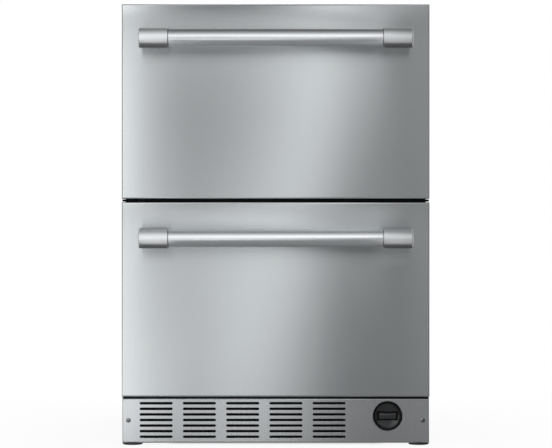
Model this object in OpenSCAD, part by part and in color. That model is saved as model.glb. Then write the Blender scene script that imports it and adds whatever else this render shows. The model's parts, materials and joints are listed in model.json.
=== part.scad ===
// Undercounter refrigerator: two drawers behind stainless fronts, over a slotted toe grille.
// Millimetres. X runs left to right, the drawers open towards -Y, Z is up, the floor is at Z 0.
// The origin is the middle of the footprint, from the handles' front to the cabinet's back.

/* [Whole unit] */
// Width across the drawer fronts
front_w = 606; // [596:1:630]
// Height from the floor to the top edge of the upper front
overall_h = 868; // [850:1:900]
// How far the fronts stand past the cabinet on each side
side_reveal = 4; // [1:0.5:8]
// Depth of the cabinet from its front frame to its back edge
cabinet_d = 548; // [530:1:600]
// Drop from the upper front's top edge to the cabinet's top
cabinet_drop = 4; // [2:0.5:10]
// Gap between the cabinet's front frame and the back of a drawer front
seal_gap = 10; // [8:0.5:14]

/* [Drawer fronts] */
// Thickness of a drawer front
front_t = 40; // [34:1:48]
// Gap between the two drawer fronts
drawer_gap = 6.8; // [4:0.2:9]
// Gap between the lower front and the toe grille
grille_gap = 3.8; // [2:0.2:6]
// Thickness of the folded steel skin of a front
skin_t = 1; // [0.8:0.1:1.5]
// Outside radius of the skin's folds
fold_r = 3; // [2:0.5:5]
// Width of the skin's return behind the front
skin_return = 5; // [4:0.5:5.5]
// Thickness of the inner plastic panel
panel_t = 2.5; // [2:0.1:3.5]
// How far the inner panel's raised field reaches into the cabinet
field_d = 13; // [12:0.5:20]
// Distance of the raised field's side from the liner
field_clear = 21; // [17:1:40]

/* [Door seal] */
// Inset of the seal from the edges of a front
seal_inset = 6; // [5.8:0.1:7]
// Width of the seal's base
seal_base_w = 14; // [12:0.5:14.5]
// Thickness of the seal's base
seal_base_t = 2.4; // [2:0.1:3]
// Width of the seal's neck
seal_neck_w = 6; // [4:0.5:8]
// Width of the seal's magnet tube
seal_tube_w = 11; // [9:0.5:12]
// Height of the seal's magnet tube
seal_tube_t = 4.6; // [3.5:0.1:5]
// Clearance between the closed seal and the cabinet
seal_clear = 0.3; // [0.3:0.1:0.5]

/* [Handles] */
// Inset of the handle's ends from the sides of the front
handle_inset = 35; // [23:1:60]
// Diameter of the handle's bar
bar_d = 34; // [28:0.5:36]
// Diameter of the handle's end caps
cap_d = 39; // [37:0.5:44]
// Length of an end cap
cap_len = 59.5; // [50:0.5:70]
// Height of the slight dome on a cap's outer end
cap_dome = 2; // [1:0.5:4]
// Width of the groove between cap and bar
cap_groove = 1; // [0.5:0.1:2]
// Depth of the groove between cap and bar
cap_groove_d = 4; // [3.5:0.5:6]
// Distance from a drawer front to the handle's centre line
handle_standoff = 48; // [42:1:60]
// Drop from a front's top edge to the handle's centre line
handle_drop = 70.5; // [50:0.5:90]
// Diameter of the post behind a cap
post_d = 24; // [18:0.5:30]
// Diameter of the handle screws
handle_screw_d = 6; // [5:0.5:8]
// Diameter of the handle screws' heads
handle_screw_head = 11; // [9:0.5:14]

/* [Toe grille] */
// Clearance between the floor and the grille
grille_clear = 4.2; // [3:0.2:12]
// Height of the grille
grille_h = 87.7; // [84:0.1:95]
// How far the grille lies behind the drawer fronts
grille_recess = 6; // [3:0.5:12]
// Inset of the grille's sides from the sides of the fronts
grille_inset = 0.5; // [0:0.5:4]
// Thickness of the grille's plate
grille_t = 1.2; // [1:0.1:1.5]
// Depth of the grille's side and bottom returns
grille_return = 9; // [8:0.5:9]
// Number of slot columns
slot_cols = 5; // [3:1:5]
// Number of slot rows
slot_rows = 7; // [4:1:7]
// Steel left between two slot columns
slot_gap = 20.2; // [12:0.2:26]
// Height of a slot
slot_h = 5; // [4:0.2:6]
// Distance between slot rows
slot_pitch_z = 11; // [9:0.1:11.5]
// Margin between the grille's left side and the slots
slot_margin = 34.7; // [28:0.1:45]
// Distance between the slots and the knob's hole
slot_knob_gap = 53.4; // [20:0.2:60]
// Height of the lowest slot row above the grille's bottom edge
slot_z0 = 12.2; // [9:0.2:14]
// Inset of the grille screws from the grille's sides
grille_screw_inset = 12.5; // [10.5:0.5:16]
// Height of the grille screws above the grille's bottom edge
grille_screw_z = 45; // [35:0.5:55]
// Diameter of the grille screws
grille_screw_d = 4; // [3:0.5:5]
// Diameter of the grille screws' heads
grille_screw_head = 9; // [7.5:0.5:9]

/* [Control knob] */
// Diameter of the knob
knob_d = 55; // [45:0.5:58]
// Clearance round the knob in the grille's hole
knob_clear = 1.8; // [1:0.1:3]
// Width of the knob's rim
knob_rim = 4.4; // [3:0.2:6]
// Depth of the knob from front to back
knob_depth = 14; // [12:0.5:16]
// How far the knob stands proud of the grille
knob_proud = 3.5; // [2:0.5:6]
// Depth of the knob's dish
knob_dish = 7; // [5:0.5:9]
// Height of the grip bar at its ends
grip_h = 13.4; // [10:0.2:16]
// Height of the grip bar at its waist
grip_waist = 11.6; // [9:0.2:13]
// Gap between the grip bar's ends and the dish's wall
grip_gap = 3.6; // [2:0.2:5]
// Depth of the bevel at the grip bar's ends
grip_bevel = 3; // [1:0.5:4]
// Inset of the knob's centre from the grille's right side
knob_inset = 81.8; // [76:0.2:88]
// Height of the knob above the grille's bottom edge
knob_z = 53.1; // [48:0.5:56]
// Diameter of the knob's shaft
knob_shaft_d = 6; // [5:0.5:8]

/* [Cabinet] */
// Thickness of the cabinet's steel sheets
sheet_t = 1.2; // [0.8:0.1:1.6]
// Outside radius of the wrapper's top corners
wrapper_r = 4; // [2:0.5:8]
// Height of the cabinet's bottom edge above the floor
base_z = 22; // [20:0.5:28]
// Thickness of the insulated side walls
wall_side = 38; // [34:0.5:42]
// Thickness of the insulated top wall
wall_top = 42; // [36:0.5:50]
// Thickness of the insulated floor
wall_floor = 47; // [42:0.5:49]
// Thickness of the insulated rear wall
wall_rear = 45; // [36:0.5:52]
// Thickness of the insulated walls round the machine space
wall_step = 42; // [36:0.5:48]
// Thickness of the inner liner
liner_t = 2; // [1.5:0.1:3]
// Radius of the liner's corners
liner_r = 16; // [8:1:24]
// Width of the cabinet frame's steel flange
frame_w = 24; // [18:0.5:28]
// Height of the centre rail between the drawers
rail_h = 50; // [46:0.5:51]
// Depth of the centre rail
rail_d = 60; // [40:1:80]
// Depth of the machine space at the rear
machine_d = 210; // [205:1:225]
// Height of the machine space's ceiling above the floor
machine_top = 255; // [245:1:262]
// Inset of the rear machine cover from the back edge
cover_inset = 22; // [20:0.5:26]
// Inset of the back panel from the back edge
back_inset = 3; // [2:0.5:6]

/* [Bins and slides] */
// Gap between the liner's side and a bin's side, filled by the slides
slide_gap = 14; // [14:0.1:14.6]
// Height of a slide's outer member
slide_h = 46; // [44:0.5:50]
// Sheet thickness of the slides
slide_t = 1.4; // [1.2:0.1:1.5]
// Running clearance between the slides' members
slide_clear = 0.4; // [0.3:0.05:0.5]
// Gap behind the upper slides, in front of the evaporator's cover
slide_end_up = 1; // [0.5:0.5:30]
// Gap behind the lower slides, in front of the step
slide_end_low = 4; // [1:0.5:30]
// Distance from the front frame to the slides' front ends
slide_start = 12; // [6:0.5:16]
// Height of the upper slides' centre above the upper front's bottom edge
slide_rise_up = 164.75; // [120:0.25:200]
// Drop of the lower slides' centre below the lower front's top edge
slide_drop_low = 98.45; // [80:0.05:130]
// Gap behind the upper bin, in front of the evaporator's cover
bin_end_up = 27; // [18:1:60]
// Gap behind the lower bin, in front of the step
bin_end_low = 20; // [18:1:50]
// Gap between the upper bin's rim and the ceiling
bin_gap_up = 33.15; // [20:0.05:60]
// Gap between the lower bin's rim and the centre rail
bin_gap_low = 15.85; // [12:0.05:50]
// Clearance under each bin
bin_lift = 6; // [4:0.5:8]
// Thickness of a bin's walls
bin_t = 2.5; // [2:0.1:3.5]
// Radius of a bin's upright corners
bin_r = 20; // [10:1:30]
// Width of the rim round a bin
rim_w = 5; // [3:0.5:7]
// Thickness of the rim round a bin
rim_t = 3; // [2:0.5:4]
// Thickness of a bin divider
divider_t = 3; // [2:0.5:4]
// Drop from a bin's rim to the divider's lower edge
divider_h = 210; // [150:1:225]
// Clearance between a divider and its bin
divider_clear = 0.5; // [0.3:0.1:1]

/* [Levelling legs] */
// Inset of the legs from the cabinet's sides
leg_inset = 16; // [16:0.5:24]
// Distance from the grille's face to the front legs
leg_front_y = 19.9; // [19.5:0.1:24]
// Distance from the cabinet's back edge to the rear legs
leg_rear_y = 42; // [40:0.5:60]
// Diameter of a leg's pad
pad_d = 39.8; // [34:0.2:39.8]
// Clearance between a leg's pad and the grille above it
pad_clear = 0.2; // [0.1:0.1:0.6]
// Diameter of a leg's threaded stud
stud_d = 10; // [8:0.5:11]
// Height of the stud's top above the floor
stud_top = 78; // [70:1:84]
// Size across the flats of the leg's hexagon
hex_af = 17; // [15:0.5:18]
// Height of the leg's hexagon
hex_h = 6; // [4:0.5:7]
// Height of the nuts welded to the base pan
nut_h = 9; // [7:0.5:12]
// Radial running clearance of studs and shafts in their bores
run_clear = 0.08; // [0.04:0.01:0.1]

/* [Cooling unit] */
// Diameter of the compressor's pot
pot_d = 140; // [120:1:146]
// Height of the compressor's pot
pot_h = 160; // [140:1:170]
// Inset of the compressor's centre from the cabinet's left side
pot_inset = 157; // [150:1:160]
// Distance from the machine cover to the compressor's centre
pot_y = 92; // [90:1:96]
// Height of the compressor's rubber feet
grommet_h = 14; // [10:0.5:18]
// Width that the condenser leaves free in the machine space
cond_free = 394; // [392:1:420]
// Depth of the condenser's fin pack
cond_d = 44; // [38:1:46]
// Number of fins in the condenser
cond_fins = 22; // [12:1:26]
// Number of tube rows in the condenser
cond_rows = 6; // [4:2:6]
// Distance between the condenser's tube rows
cond_pitch = 25.4; // [22:0.2:26]
// Inset of the condenser's fin pack from the cabinet's right side
cond_inset = 79; // [74:1:82]
// Diameter of the condenser's tubes
cond_tube_d = 9.5; // [7:0.5:10]
// Margin between the condenser fan and the edge of the fin pack
fan_margin = 7.2; // [7.2:0.2:14]
// Space beside the evaporator's fin pack on each side
evap_side = 81; // [72:1:100]
// Number of fins in the evaporator
evap_fins = 24; // [12:1:30]
// Number of tube rows in the evaporator
evap_rows = 4; // [2:2:4]
// Drop of the evaporator's lower edge below the ceiling
evap_drop = 262; // [250:1:280]
// Diameter of the evaporator fan
evap_fan_d = 84; // [70:1:90]
// Drop of the evaporator fan's centre below the ceiling
evap_fan_drop = 84; // [80:1:88]
// Depth of the evaporator's cover
evap_cover_d = 40; // [38:0.5:42]
// Diameter of the suction line
line_d = 8; // [6:0.5:10]
// Diameter of the drain tube
drain_d = 13; // [10:0.5:16]

/* [Hidden] */
$fn = 64;
eps = 0.01;

// Depth: the handle's front and the cabinet's back lie evenly about the origin.
handle_reach = handle_standoff + cap_d / 2;
total_d = handle_reach + front_t + seal_gap + cabinet_d;
y_back = total_d / 2;
y_cab = y_back - cabinet_d;
y_rear = y_cab - seal_gap;
y_face = y_rear - front_t;
y_bar = y_face - handle_standoff;
y_grille = y_face + grille_recess;
y_cover = y_back - cover_inset;
y_machine = y_back - machine_d;

// Widths: all follow the drawer fronts.
cabinet_w = front_w - 2 * side_reveal;
grille_w = front_w - 2 * grille_inset;
handle_len = front_w - 2 * handle_inset;
grille_screw_x = grille_w / 2 - grille_screw_inset;
knob_x = grille_w / 2 - knob_inset;
slots_left = -grille_w / 2 + slot_margin;
slots_right = knob_x - knob_d / 2 - knob_clear - slot_knob_gap;
slot_len = (slots_right - slots_left - (slot_cols - 1) * slot_gap) / slot_cols;
slot_pitch_x = slot_len + slot_gap;

// Heights of the fronts, which share what the grille and the gaps leave.
front_h = (overall_h - grille_clear - grille_h - grille_gap - drawer_gap) / 2;
z_low = grille_clear + grille_h + grille_gap;
z_up = z_low + front_h + drawer_gap;
z_rail = z_low + front_h + drawer_gap / 2;
grille_top = grille_clear + grille_h;
cab_top = overall_h - cabinet_drop;
box_z = z_low + 2.3;

// The cold space inside the liner, and its step over the machine space.
cav_x = cabinet_w / 2 - wall_side;
cav_top = cab_top - wall_top;
cav_z = box_z + wall_floor;
cav_y = y_back - wall_rear;
step_y = y_machine - wall_step;
step_z = machine_top + wall_step;
field_x = cav_x - field_clear;
y_evap_cover = cav_y - evap_cover_d;

// Bins and slides. A bin's side lies against the slides' inner members.
bin_x = cav_x - slide_gap;
y_bin = y_rear - skin_t + field_d;
z_bin_up = z_rail + rail_h / 2 + bin_lift;
z_bin_low = cav_z + bin_lift;
rim_x = bin_x + rim_w;
bin_h_up = cav_top - bin_gap_up - z_bin_up;
bin_h_low = z_rail - rail_h / 2 - bin_gap_low - z_bin_low;
bin_d_up = y_evap_cover - bin_end_up - y_bin;
bin_d_low = step_y - bin_end_low - y_bin;
slide_y = y_cab + slide_start;
slide_len_up = y_evap_cover - slide_end_up - slide_y;
slide_len_low = step_y - slide_end_low - slide_y;
slide_z_up = z_up + slide_rise_up;
slide_z_low = z_low + front_h - slide_drop_low;
// Air slots in the bins' backs and in the dividers
vent_pitch = (2 * bin_x - 88) / 7;
vent_gap = 14;
mid_h = slide_h - 2 * slide_t - 2 * slide_clear;
inner_h = mid_h - 2 * slide_t - 2 * slide_clear;
lip = 4;
mid_u = slide_t + slide_clear;
inner_u = mid_u + slide_t + slide_clear;
slide_depth = 12.7;

// Seal: where each front's seal lies behind its skin.
y_panel = y_rear - skin_t;
seal_t = seal_gap + skin_t - seal_clear;
seal_neck_t = seal_t - seal_base_t - seal_tube_t;

// Handle posts stand under the middle of the caps.
cap_x = handle_len / 2 - cap_len / 2;
bar_len = handle_len - 2 * cap_len;
handle_z_up = overall_h - handle_drop;
handle_z_low = z_low + front_h - handle_drop;
screw_fit = 0.2;

// Control knob and thermostat on one axis.
knob_zc = grille_clear + knob_z;
y_knob = y_grille - knob_proud;
y_thermo = y_grille + 22;
thermo_w = 46;
thermo_h = 38;
thermo_d = 30;
neck_d = knob_shaft_d + 5;
// Radius of the arcs that draw the grip bar in from its end height to its waist
waist_r = (pow(knob_d / 2, 2) + pow((grip_h - grip_waist) / 2, 2)) / (grip_h - grip_waist);
// Depth of the shaft's end behind the knob's face, inside the thermostat's neck
shaft_end = y_thermo - y_knob;

// Legs
pad_h = grille_clear - pad_clear;
leg_y_front = y_grille + leg_front_y;
leg_y_rear = y_back - leg_rear_y;
leg_x = cabinet_w / 2 - leg_inset;
stud_fit = 0.6;
pan_t = 1.5;
pan_x = cabinet_w / 2 - sheet_t - 0.3;
y_pan = y_grille + grille_t;
tab_h = 44;
pallet_x = cabinet_w / 2 - 99;
pallet_y0 = y_cab + 40;
pallet_y1 = y_machine - 120;
pallet_d = 9;

// Rear cover's screws and the gland for the supply cord
cover_screw_x = cabinet_w / 2 - 9;
cover_screw_d = 4;
cover_screw_z = [base_z + 20, (base_z + machine_top) / 2, machine_top - 20];
gland_x = -cabinet_w / 2 + 63;
gland_z = 64;
gland_bore = 8.4;
gland_thread = 20;

// Compressor and condenser in the machine space
pot_x = -cabinet_w / 2 + pot_inset;
yc_pot = y_cover - pot_y;
pot_z = base_z + pan_t + grommet_h;
foot_x = 82;
foot_y = 44;
foot_hole = 9;
cond_w = cabinet_w - cond_free;
cond_x = cabinet_w / 2 - cond_inset - cond_w / 2;
y_cond = y_machine + 26 + cond_d / 2;
cond_z = base_z + 38;
cond_h = cond_rows * cond_pitch;
cond_top = cond_z + cond_pitch * (cond_rows - 0.5);
y_fan = y_cond + cond_d / 2 + 34;
fan_z = cond_z + cond_h / 2;
fan_d = min(cond_w, cond_h) - 2 * fan_margin;
motor_d = 56;
motor_len = 40;
shaft_d = 6;

// Lines through the step between the cold space and the machine space: x, y, radius of each hole
drain_y = y_machine + 120;
suction_x = pot_x + 108;
drain_x = suction_x + 34;
suction_y = cav_y - 18 - 28 / 4;
sensor_x = cav_x - 21;
sensor_y = y_machine + 16;
HOLES = [[drain_x, drain_y, drain_d / 2 + 0.3], [suction_x, suction_y, line_d / 2 + 0.3],
    [sensor_x, sensor_y, 1.5 + 0.3]];

// Evaporator behind its cover
y_evap = cav_y - 18;
evap_w = 2 * (cav_x - evap_side);
evap_z = cav_top - evap_drop;
evap_fan_z = cav_top - evap_fan_drop;
evap_pitch = 30;
evap_h = evap_rows * evap_pitch;
evap_top = evap_z + evap_pitch * (evap_rows - 0.5);
evap_cover_x = cav_x - 25;
evap_cover_z = step_z + liner_r;
evap_cover_top = cav_top - liner_r;

// Filter drier, between the compressor and the condenser
drier_x = (pot_x + pot_d / 2 + cond_x - cond_w / 2) / 2 + 8;
drier_z = 68;
drier_h = 110;

steel = [0.72, 0.73, 0.74];
polished = [0.8, 0.81, 0.82];
black = [0.1, 0.1, 0.11];
white = [0.9, 0.91, 0.91];
grey = [0.55, 0.56, 0.57];
copper = [0.72, 0.42, 0.26];

// ---- Shared shapes -------------------------------------------------------------------------

// A rectangle from its lower left corner, with four round corners
module round_rect(x, y, w, h, r) {
    translate([x + r, y]) square([w - 2 * r, h]);
    translate([x, y + r]) square([w, h - 2 * r]);
    for (i = [0, 1], j = [0, 1])
        translate([x + r + i * (w - 2 * r), y + r + j * (h - 2 * r)]) circle(r);
}

// A strip of the given length along X, round at the front corners only
module front_round(w, d, r) {
    translate([-w / 2, r]) square([w, d - r]);
    translate([-w / 2 + r, 0]) square([w - 2 * r, d]);
    for (s = [-1, 1]) translate([s * (w / 2 - r), r]) circle(r);
}

// A block with its front face at y 0 and round edges all round that face
module front_block(w, h, d, r) {
    intersection() {
        linear_extrude(h) front_round(w, d, r);
        translate([w / 2, 0, h / 2]) rotate([0, -90, 0]) linear_extrude(w) front_round(h, d, r);
    }
}

// A folded sheet pan, open at the back
module folded_pan(w, h, d, t, r) {
    difference() {
        front_block(w, h, d, r);
        translate([0, t, t]) front_block(w - 2 * t, h - 2 * t, d, r - t);
    }
}

// A rectangular ring in the XZ plane, from y to y + t, with its outer size and width
module frame_ring(w, h, y, t, band) {
    translate([0, y, 0]) difference() {
        translate([-w / 2, 0, 0]) cube([w, t, h]);
        translate([-w / 2 + band, -eps, band]) cube([w - 2 * band, t + 2 * eps, h - 2 * band]);
    }
}

// A cylinder along Y from y, centred on x and z
module along_y(x, y, z, r, len) {
    translate([x, y, z]) rotate([-90, 0, 0]) cylinder(r = r, h = len);
}

// A shape drawn in X and Z, extruded towards +Y from y
module plate_y(y, t) {
    translate([0, y + t, 0]) rotate([90, 0, 0]) linear_extrude(t) children();
}

// A slot with round ends along X, in the drawing plane
module slot_2d(len, h) {
    translate([-(len - h) / 2, -h / 2]) square([len - h, h]);
    for (s = [-1, 1]) translate([s * (len - h) / 2, 0]) circle(h / 2);
}

// A bent tube through points whose runs lie along the axes, with quarter bends of radius b
module bent_tube(pts, r, b) {
    last = len(pts) - 1;
    for (i = [0 : last - 1]) {
        d = pts[i + 1] - pts[i];
        u = d / norm(d);
        a = i == 0 ? pts[0] : pts[i] + b * u;
        e = i == last - 1 ? pts[last] : pts[i + 1] - b * u;
        run(a, e, r);
    }
    for (i = [1 : 1 : last - 1]) {
        u = (pts[i] - pts[i - 1]) / norm(pts[i] - pts[i - 1]);
        v = (pts[i + 1] - pts[i]) / norm(pts[i + 1] - pts[i]);
        w = cross(u, v);
        c = pts[i] - b * u + b * v;
        multmatrix([[-v.x, u.x, w.x, c.x], [-v.y, u.y, w.y, c.y], [-v.z, u.z, w.z, c.z], [0, 0, 0, 1]])
            rotate_extrude(angle = 90) translate([b, 0]) circle(r, $fn = 24);
    }
}

// One straight run of a tube along an axis
module run(a, e, r) {
    d = e - a;
    turn = abs(d.x) > eps ? [0, d.x > 0 ? 90 : -90, 0] : abs(d.y) > eps ? [d.y > 0 ? -90 : 90, 0, 0]
        : [d.z > 0 ? 0 : 180, 0, 0];
    translate(a) rotate(turn) cylinder(r = r, h = norm(d), $fn = 24);
}

// A pan head screw along +Y whose head's seat is at y, with a cross recess
module pan_screw(x, y, z, head_d, d, len) {
    head_h = head_d * 0.3;
    difference() {
        translate([x, y, z]) rotate([-90, 0, 0]) union() {
            cylinder(d = d, h = len);
            intersection() {
                translate([0, 0, -head_h]) cylinder(d = head_d, h = head_h);
                translate([0, 0, head_d * 0.55]) sphere(head_d * 0.85);
            }
        }
        for (turn = [0, 90]) translate([x, y - head_h, z]) rotate([0, turn, 0])
            cube([head_d * 0.5, head_h * 1.2, head_d * 0.12], center = true);
    }
}

// ---- Cabinet -------------------------------------------------------------------------------

// The cold space, grown by g on all sides, reaching forward to y0
module cold_space(g, y0) {
    intersection() {
        translate([-(cav_x + g), 0, 0]) rotate([90, 0, 90]) linear_extrude(2 * (cav_x + g)) union() {
            round_rect(y0, cav_z - g, step_y + g - y0, cav_top - cav_z + 2 * g, liner_r);
            round_rect(y0, step_z - g, cav_y + g - y0, cav_top - step_z + 2 * g, liner_r);
            translate([y0, cav_z - g]) square([liner_r * 2, cav_top - cav_z + 2 * g]);
        }
        translate([0, cav_y + g, cav_z - g]) rotate([0, 0, 180])
            linear_extrude(cav_top - cav_z + 2 * g) front_round(2 * (cav_x + g), cav_y + g - y0, liner_r);
    }
}

// Holes for the lines that pass from the machine space up into the cold space
module line_holes() {
    for (h = HOLES) translate([h.x, h.y, machine_top - 4 * sheet_t])
        cylinder(r = h.z, h = step_z - machine_top + 8 * sheet_t);
}

module cabinet_shell() color(black) {
    w = cabinet_w;
    inner_w = w - 2 * sheet_t;
    difference() {
        union() {
            difference() {
                translate([0, y_back, 0]) rotate([90, 0, 0]) linear_extrude(cabinet_d) union() {
                    translate([-w / 2, base_z]) square([w, cab_top - base_z - wrapper_r]);
                    round_rect(-w / 2, base_z + wrapper_r, w, cab_top - base_z - wrapper_r, wrapper_r);
                }
                translate([0, y_back + eps, 0]) rotate([90, 0, 0]) linear_extrude(cabinet_d + 2 * eps)
                    union() {
                        translate([-inner_w / 2, base_z - eps])
                            square([inner_w, cab_top - base_z - wrapper_r]);
                        round_rect(-inner_w / 2, base_z + wrapper_r, inner_w,
                            cab_top - base_z - wrapper_r - sheet_t, wrapper_r - sheet_t);
                    }
            }
            // Front flanges and the lower front rail
            translate([0, 0, box_z])
                frame_ring(w - sheet_t, cab_top - box_z - sheet_t / 2, y_cab, sheet_t, frame_w);
            // Stepped bottom under the foam and over the machine space
            translate([-w / 2 + sheet_t / 2, y_cab, box_z])
                cube([w - sheet_t, y_machine - y_cab + sheet_t, sheet_t]);
            translate([-w / 2 + sheet_t / 2, y_machine, box_z])
                cube([w - sheet_t, sheet_t, machine_top - box_z]);
            translate([-w / 2 + sheet_t / 2, y_machine, machine_top - sheet_t])
                cube([w - sheet_t, y_back - y_machine - back_inset, sheet_t]);
            // Jambs that the rear machine cover is screwed to
            for (s = [-1, 1])
                translate([s * (w / 2 - sheet_t / 2 - 8) - 8, y_cover - 2 * sheet_t, base_z + 2])
                cube([16, sheet_t, machine_top - base_z - 2 - sheet_t / 2]);
        }
        line_holes();
        for (s = [-1, 1], z = cover_screw_z)
            along_y(s * cover_screw_x, y_cover - 4 * sheet_t, z, cover_screw_d / 2 + screw_fit, 4 * sheet_t);
    }
}

module back_panel() color(grey) {
    y = y_back - back_inset - sheet_t;
    w = cabinet_w - 2 * sheet_t - 1;
    h = cab_top - sheet_t - 0.5 - machine_top;
    plate_y(y, sheet_t) translate([-w / 2, machine_top]) square([w, h]);
    // Two pressed stiffening beads
    for (s = [-1, 1]) intersection() {
        translate([s * w / 4, y, machine_top + h * 0.15]) cylinder(r = 9, h = h * 0.7);
        translate([s * w / 4 - 9, y + sheet_t - eps, machine_top + h * 0.15]) cube([18, 1.6, h * 0.7]);
    }
}

module cabinet_insulation() color([0.93, 0.86, 0.6]) {
    x = cabinet_w / 2 - sheet_t;
    difference() {
        translate([-x, y_cab + liner_t, box_z + sheet_t])
            cube([2 * x, cabinet_d - back_inset - sheet_t - liner_t, cab_top - box_z - 2 * sheet_t]);
        cold_space(liner_t, y_cab - liner_r);
        translate([-x - 1, y_machine, box_z - 1])
            cube([2 * x + 2, machine_d, machine_top - box_z + 1]);
        translate([-x - 1, y_cab, cab_top - wrapper_r]) cube([wrapper_r + 1, cabinet_d, wrapper_r]);
        translate([x - wrapper_r, y_cab, cab_top - wrapper_r]) cube([wrapper_r + 1, cabinet_d, wrapper_r]);
        line_holes();
    }
}

module inner_liner() color(white) {
    flange_x = (cabinet_w - sheet_t) / 2 - frame_w;
    z0 = box_z + frame_w;
    difference() {
        union() {
            cold_space(liner_t, y_cab);
            // Front flange that fills the frame between the steel flange and the cold space
            plate_y(y_cab, liner_t) translate([-flange_x, z0])
                square([2 * flange_x, cab_top - frame_w - z0 - sheet_t / 2]);
        }
        cold_space(0, y_cab - liner_r * 2);
        translate([-cav_x, y_cab - 1, cav_z]) cube([2 * cav_x, liner_r, cav_top - cav_z]);
        line_holes();
    }
    // Ribs on the side walls that the slides sit between
    for (s = [-1, 1], z = [slide_z_up, slide_z_low], k = [-1, 1])
        translate([s * (cav_x - 1) - 1, slide_y, z + k * (slide_h / 2 + 4) - 1.5])
            cube([2, slide_len_low, 3]);
}

module centre_rail() color(black) {
    w = 2 * cav_x;
    translate([0, y_cab, z_rail - rail_h / 2]) difference() {
        front_block(w, rail_h, rail_d, 1.5);
        // Hollow from behind
        translate([-w / 2 + 4, 4, 4]) cube([w - 8, rail_d, rail_h - 8]);
    }
}

module base_pan() color(grey) {
    w = 2 * pan_x;
    side_h = grille_top - grille_t - 3 - base_z;
    difference() {
        union() {
            translate([-pan_x, y_pan, base_z]) cube([w, y_cover - 3 * sheet_t - y_pan, pan_t]);
            // Low sides in the cabinet, tall sides in front of it
            for (s = [0, 1]) translate([s * (w - pan_t) - pan_x, y_pan, base_z]) {
                cube([pan_t, y_cover - 3 * sheet_t - y_pan, 20]);
                cube([pan_t, y_cab - y_pan, side_h]);
            }
            // Front tabs for the grille's screws
            for (s = [-1, 1]) translate([s * (pan_x - 11) - 11, y_pan, base_z]) cube([22, pan_t, tab_h]);
            // Upright bracket of the thermostat
            translate([knob_x - thermo_w / 2 - 4, y_thermo - pan_t, base_z])
                cube([thermo_w + 8, pan_t, knob_zc + thermo_h / 2 - base_z]);
        }
        for (s = [-1, 1]) {
            along_y(s * grille_screw_x, y_pan - 1, grille_clear + grille_screw_z,
                grille_screw_d / 2 + screw_fit, pan_t + 2);
            for (y = [leg_y_front, leg_y_rear]) translate([s * leg_x, y, base_z - 1])
                cylinder(d = stud_d + 2 * stud_fit, h = pan_t + 2);
            for (y = [pallet_y0, pallet_y1]) translate([s * pallet_x, y, base_z - 1])
                cylinder(d = pallet_d, h = pan_t + 2);
            for (y = [-1, 1], x = [-1, 1]) translate([pot_x + x * foot_x, yc_pot + y * foot_y, base_z - 1])
                cylinder(d = foot_hole, h = pan_t + 2);
        }
        along_y(knob_x, y_thermo - pan_t - 1, knob_zc, neck_d / 2 + screw_fit, pan_t + 2);
        // Air slots under the condenser fan
        for (i = [-3 : 3]) translate([cond_x + i * cond_w / 8.5, y_machine - 60, base_z - 1])
            rotate([0, 0, 90]) linear_extrude(pan_t + 2) slot_2d(70, 8);
    }
}

// The nuts sit on the base pan over its leg holes
module leg_nuts() color(steel)
    for (x = [-leg_x, leg_x], y = [leg_y_front, leg_y_rear]) translate([x, y, base_z + pan_t])
        difference() {
            cylinder(d = stud_d * 1.9, h = nut_h, $fn = 6);
            translate([0, 0, -1]) cylinder(r = stud_d / 2 + run_clear, h = nut_h + 2);
        }

// ---- Toe grille and knob -------------------------------------------------------------------

module toe_grille() color(steel) {
    difference() {
        union() {
            translate([0, y_grille, grille_clear])
                folded_pan(grille_w, grille_h, grille_return, grille_t, fold_r);
            // Deep top return that closes the space under the lower front
            translate([-grille_w / 2 + grille_t, y_grille + fold_r, grille_top - grille_t])
                cube([grille_w - 2 * grille_t, y_cab - 0.3 - y_grille - fold_r, grille_t]);
        }
        // All slots in one cut
        translate([0, y_grille + 2 * grille_t, 0]) rotate([90, 0, 0]) linear_extrude(3 * grille_t) union() {
            for (i = [0 : slot_cols - 1], j = [0 : slot_rows - 1])
                translate([slots_left + slot_len / 2 + i * slot_pitch_x,
                    grille_clear + slot_z0 + j * slot_pitch_z])
                    slot_2d(slot_len, slot_h);
        }
        along_y(knob_x, y_grille - 1, knob_zc, knob_d / 2 + knob_clear, 3 * grille_t);
        for (s = [-1, 1]) along_y(s * grille_screw_x, y_grille - 1, grille_clear + grille_screw_z,
            grille_screw_d / 2 + screw_fit, 3 * grille_t);
    }
}

module grille_screws() color(steel) for (s = [-1, 1])
    pan_screw(s * grille_screw_x, y_grille, grille_clear + grille_screw_z, grille_screw_head,
        grille_screw_d, 12);

// Cup with a bevelled rim, a grip bar that stands in its dish and a shaft to the thermostat
module control_knob() color(black) {
    r = knob_d / 2;
    bevel = knob_rim - 1.4;
    dish_r = r - knob_rim;
    grip_r = dish_r - grip_gap;
    translate([knob_x, y_knob, knob_zc]) rotate([-90, 0, 0]) {
        difference() {
            union() {
                cylinder(r1 = r - bevel, r2 = r, h = bevel);
                translate([0, 0, bevel]) cylinder(r = r, h = knob_depth - bevel);
            }
            translate([0, 0, -1]) cylinder(r1 = dish_r + 1, r2 = dish_r, h = knob_dish + 1);
        }
        // The grip bar has bevelled ends and is waisted by two large arcs
        difference() {
            intersection() {
                union() {
                    cylinder(r1 = grip_r - grip_bevel * 1.3, r2 = grip_r, h = grip_bevel);
                    translate([0, 0, grip_bevel]) cylinder(r = grip_r, h = knob_dish + 1 - grip_bevel);
                }
                translate([-r, -grip_h / 2, 0.4]) cube([knob_d, grip_h, knob_dish + 1]);
            }
            for (s = [-1, 1]) translate([0, s * (waist_r + grip_waist / 2), -1])
                cylinder(r = waist_r, h = knob_dish + 1, $fn = 128);
        }
        translate([0, 0, knob_depth - eps]) cylinder(d = knob_shaft_d, h = shaft_end - knob_depth);
    }
}

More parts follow.
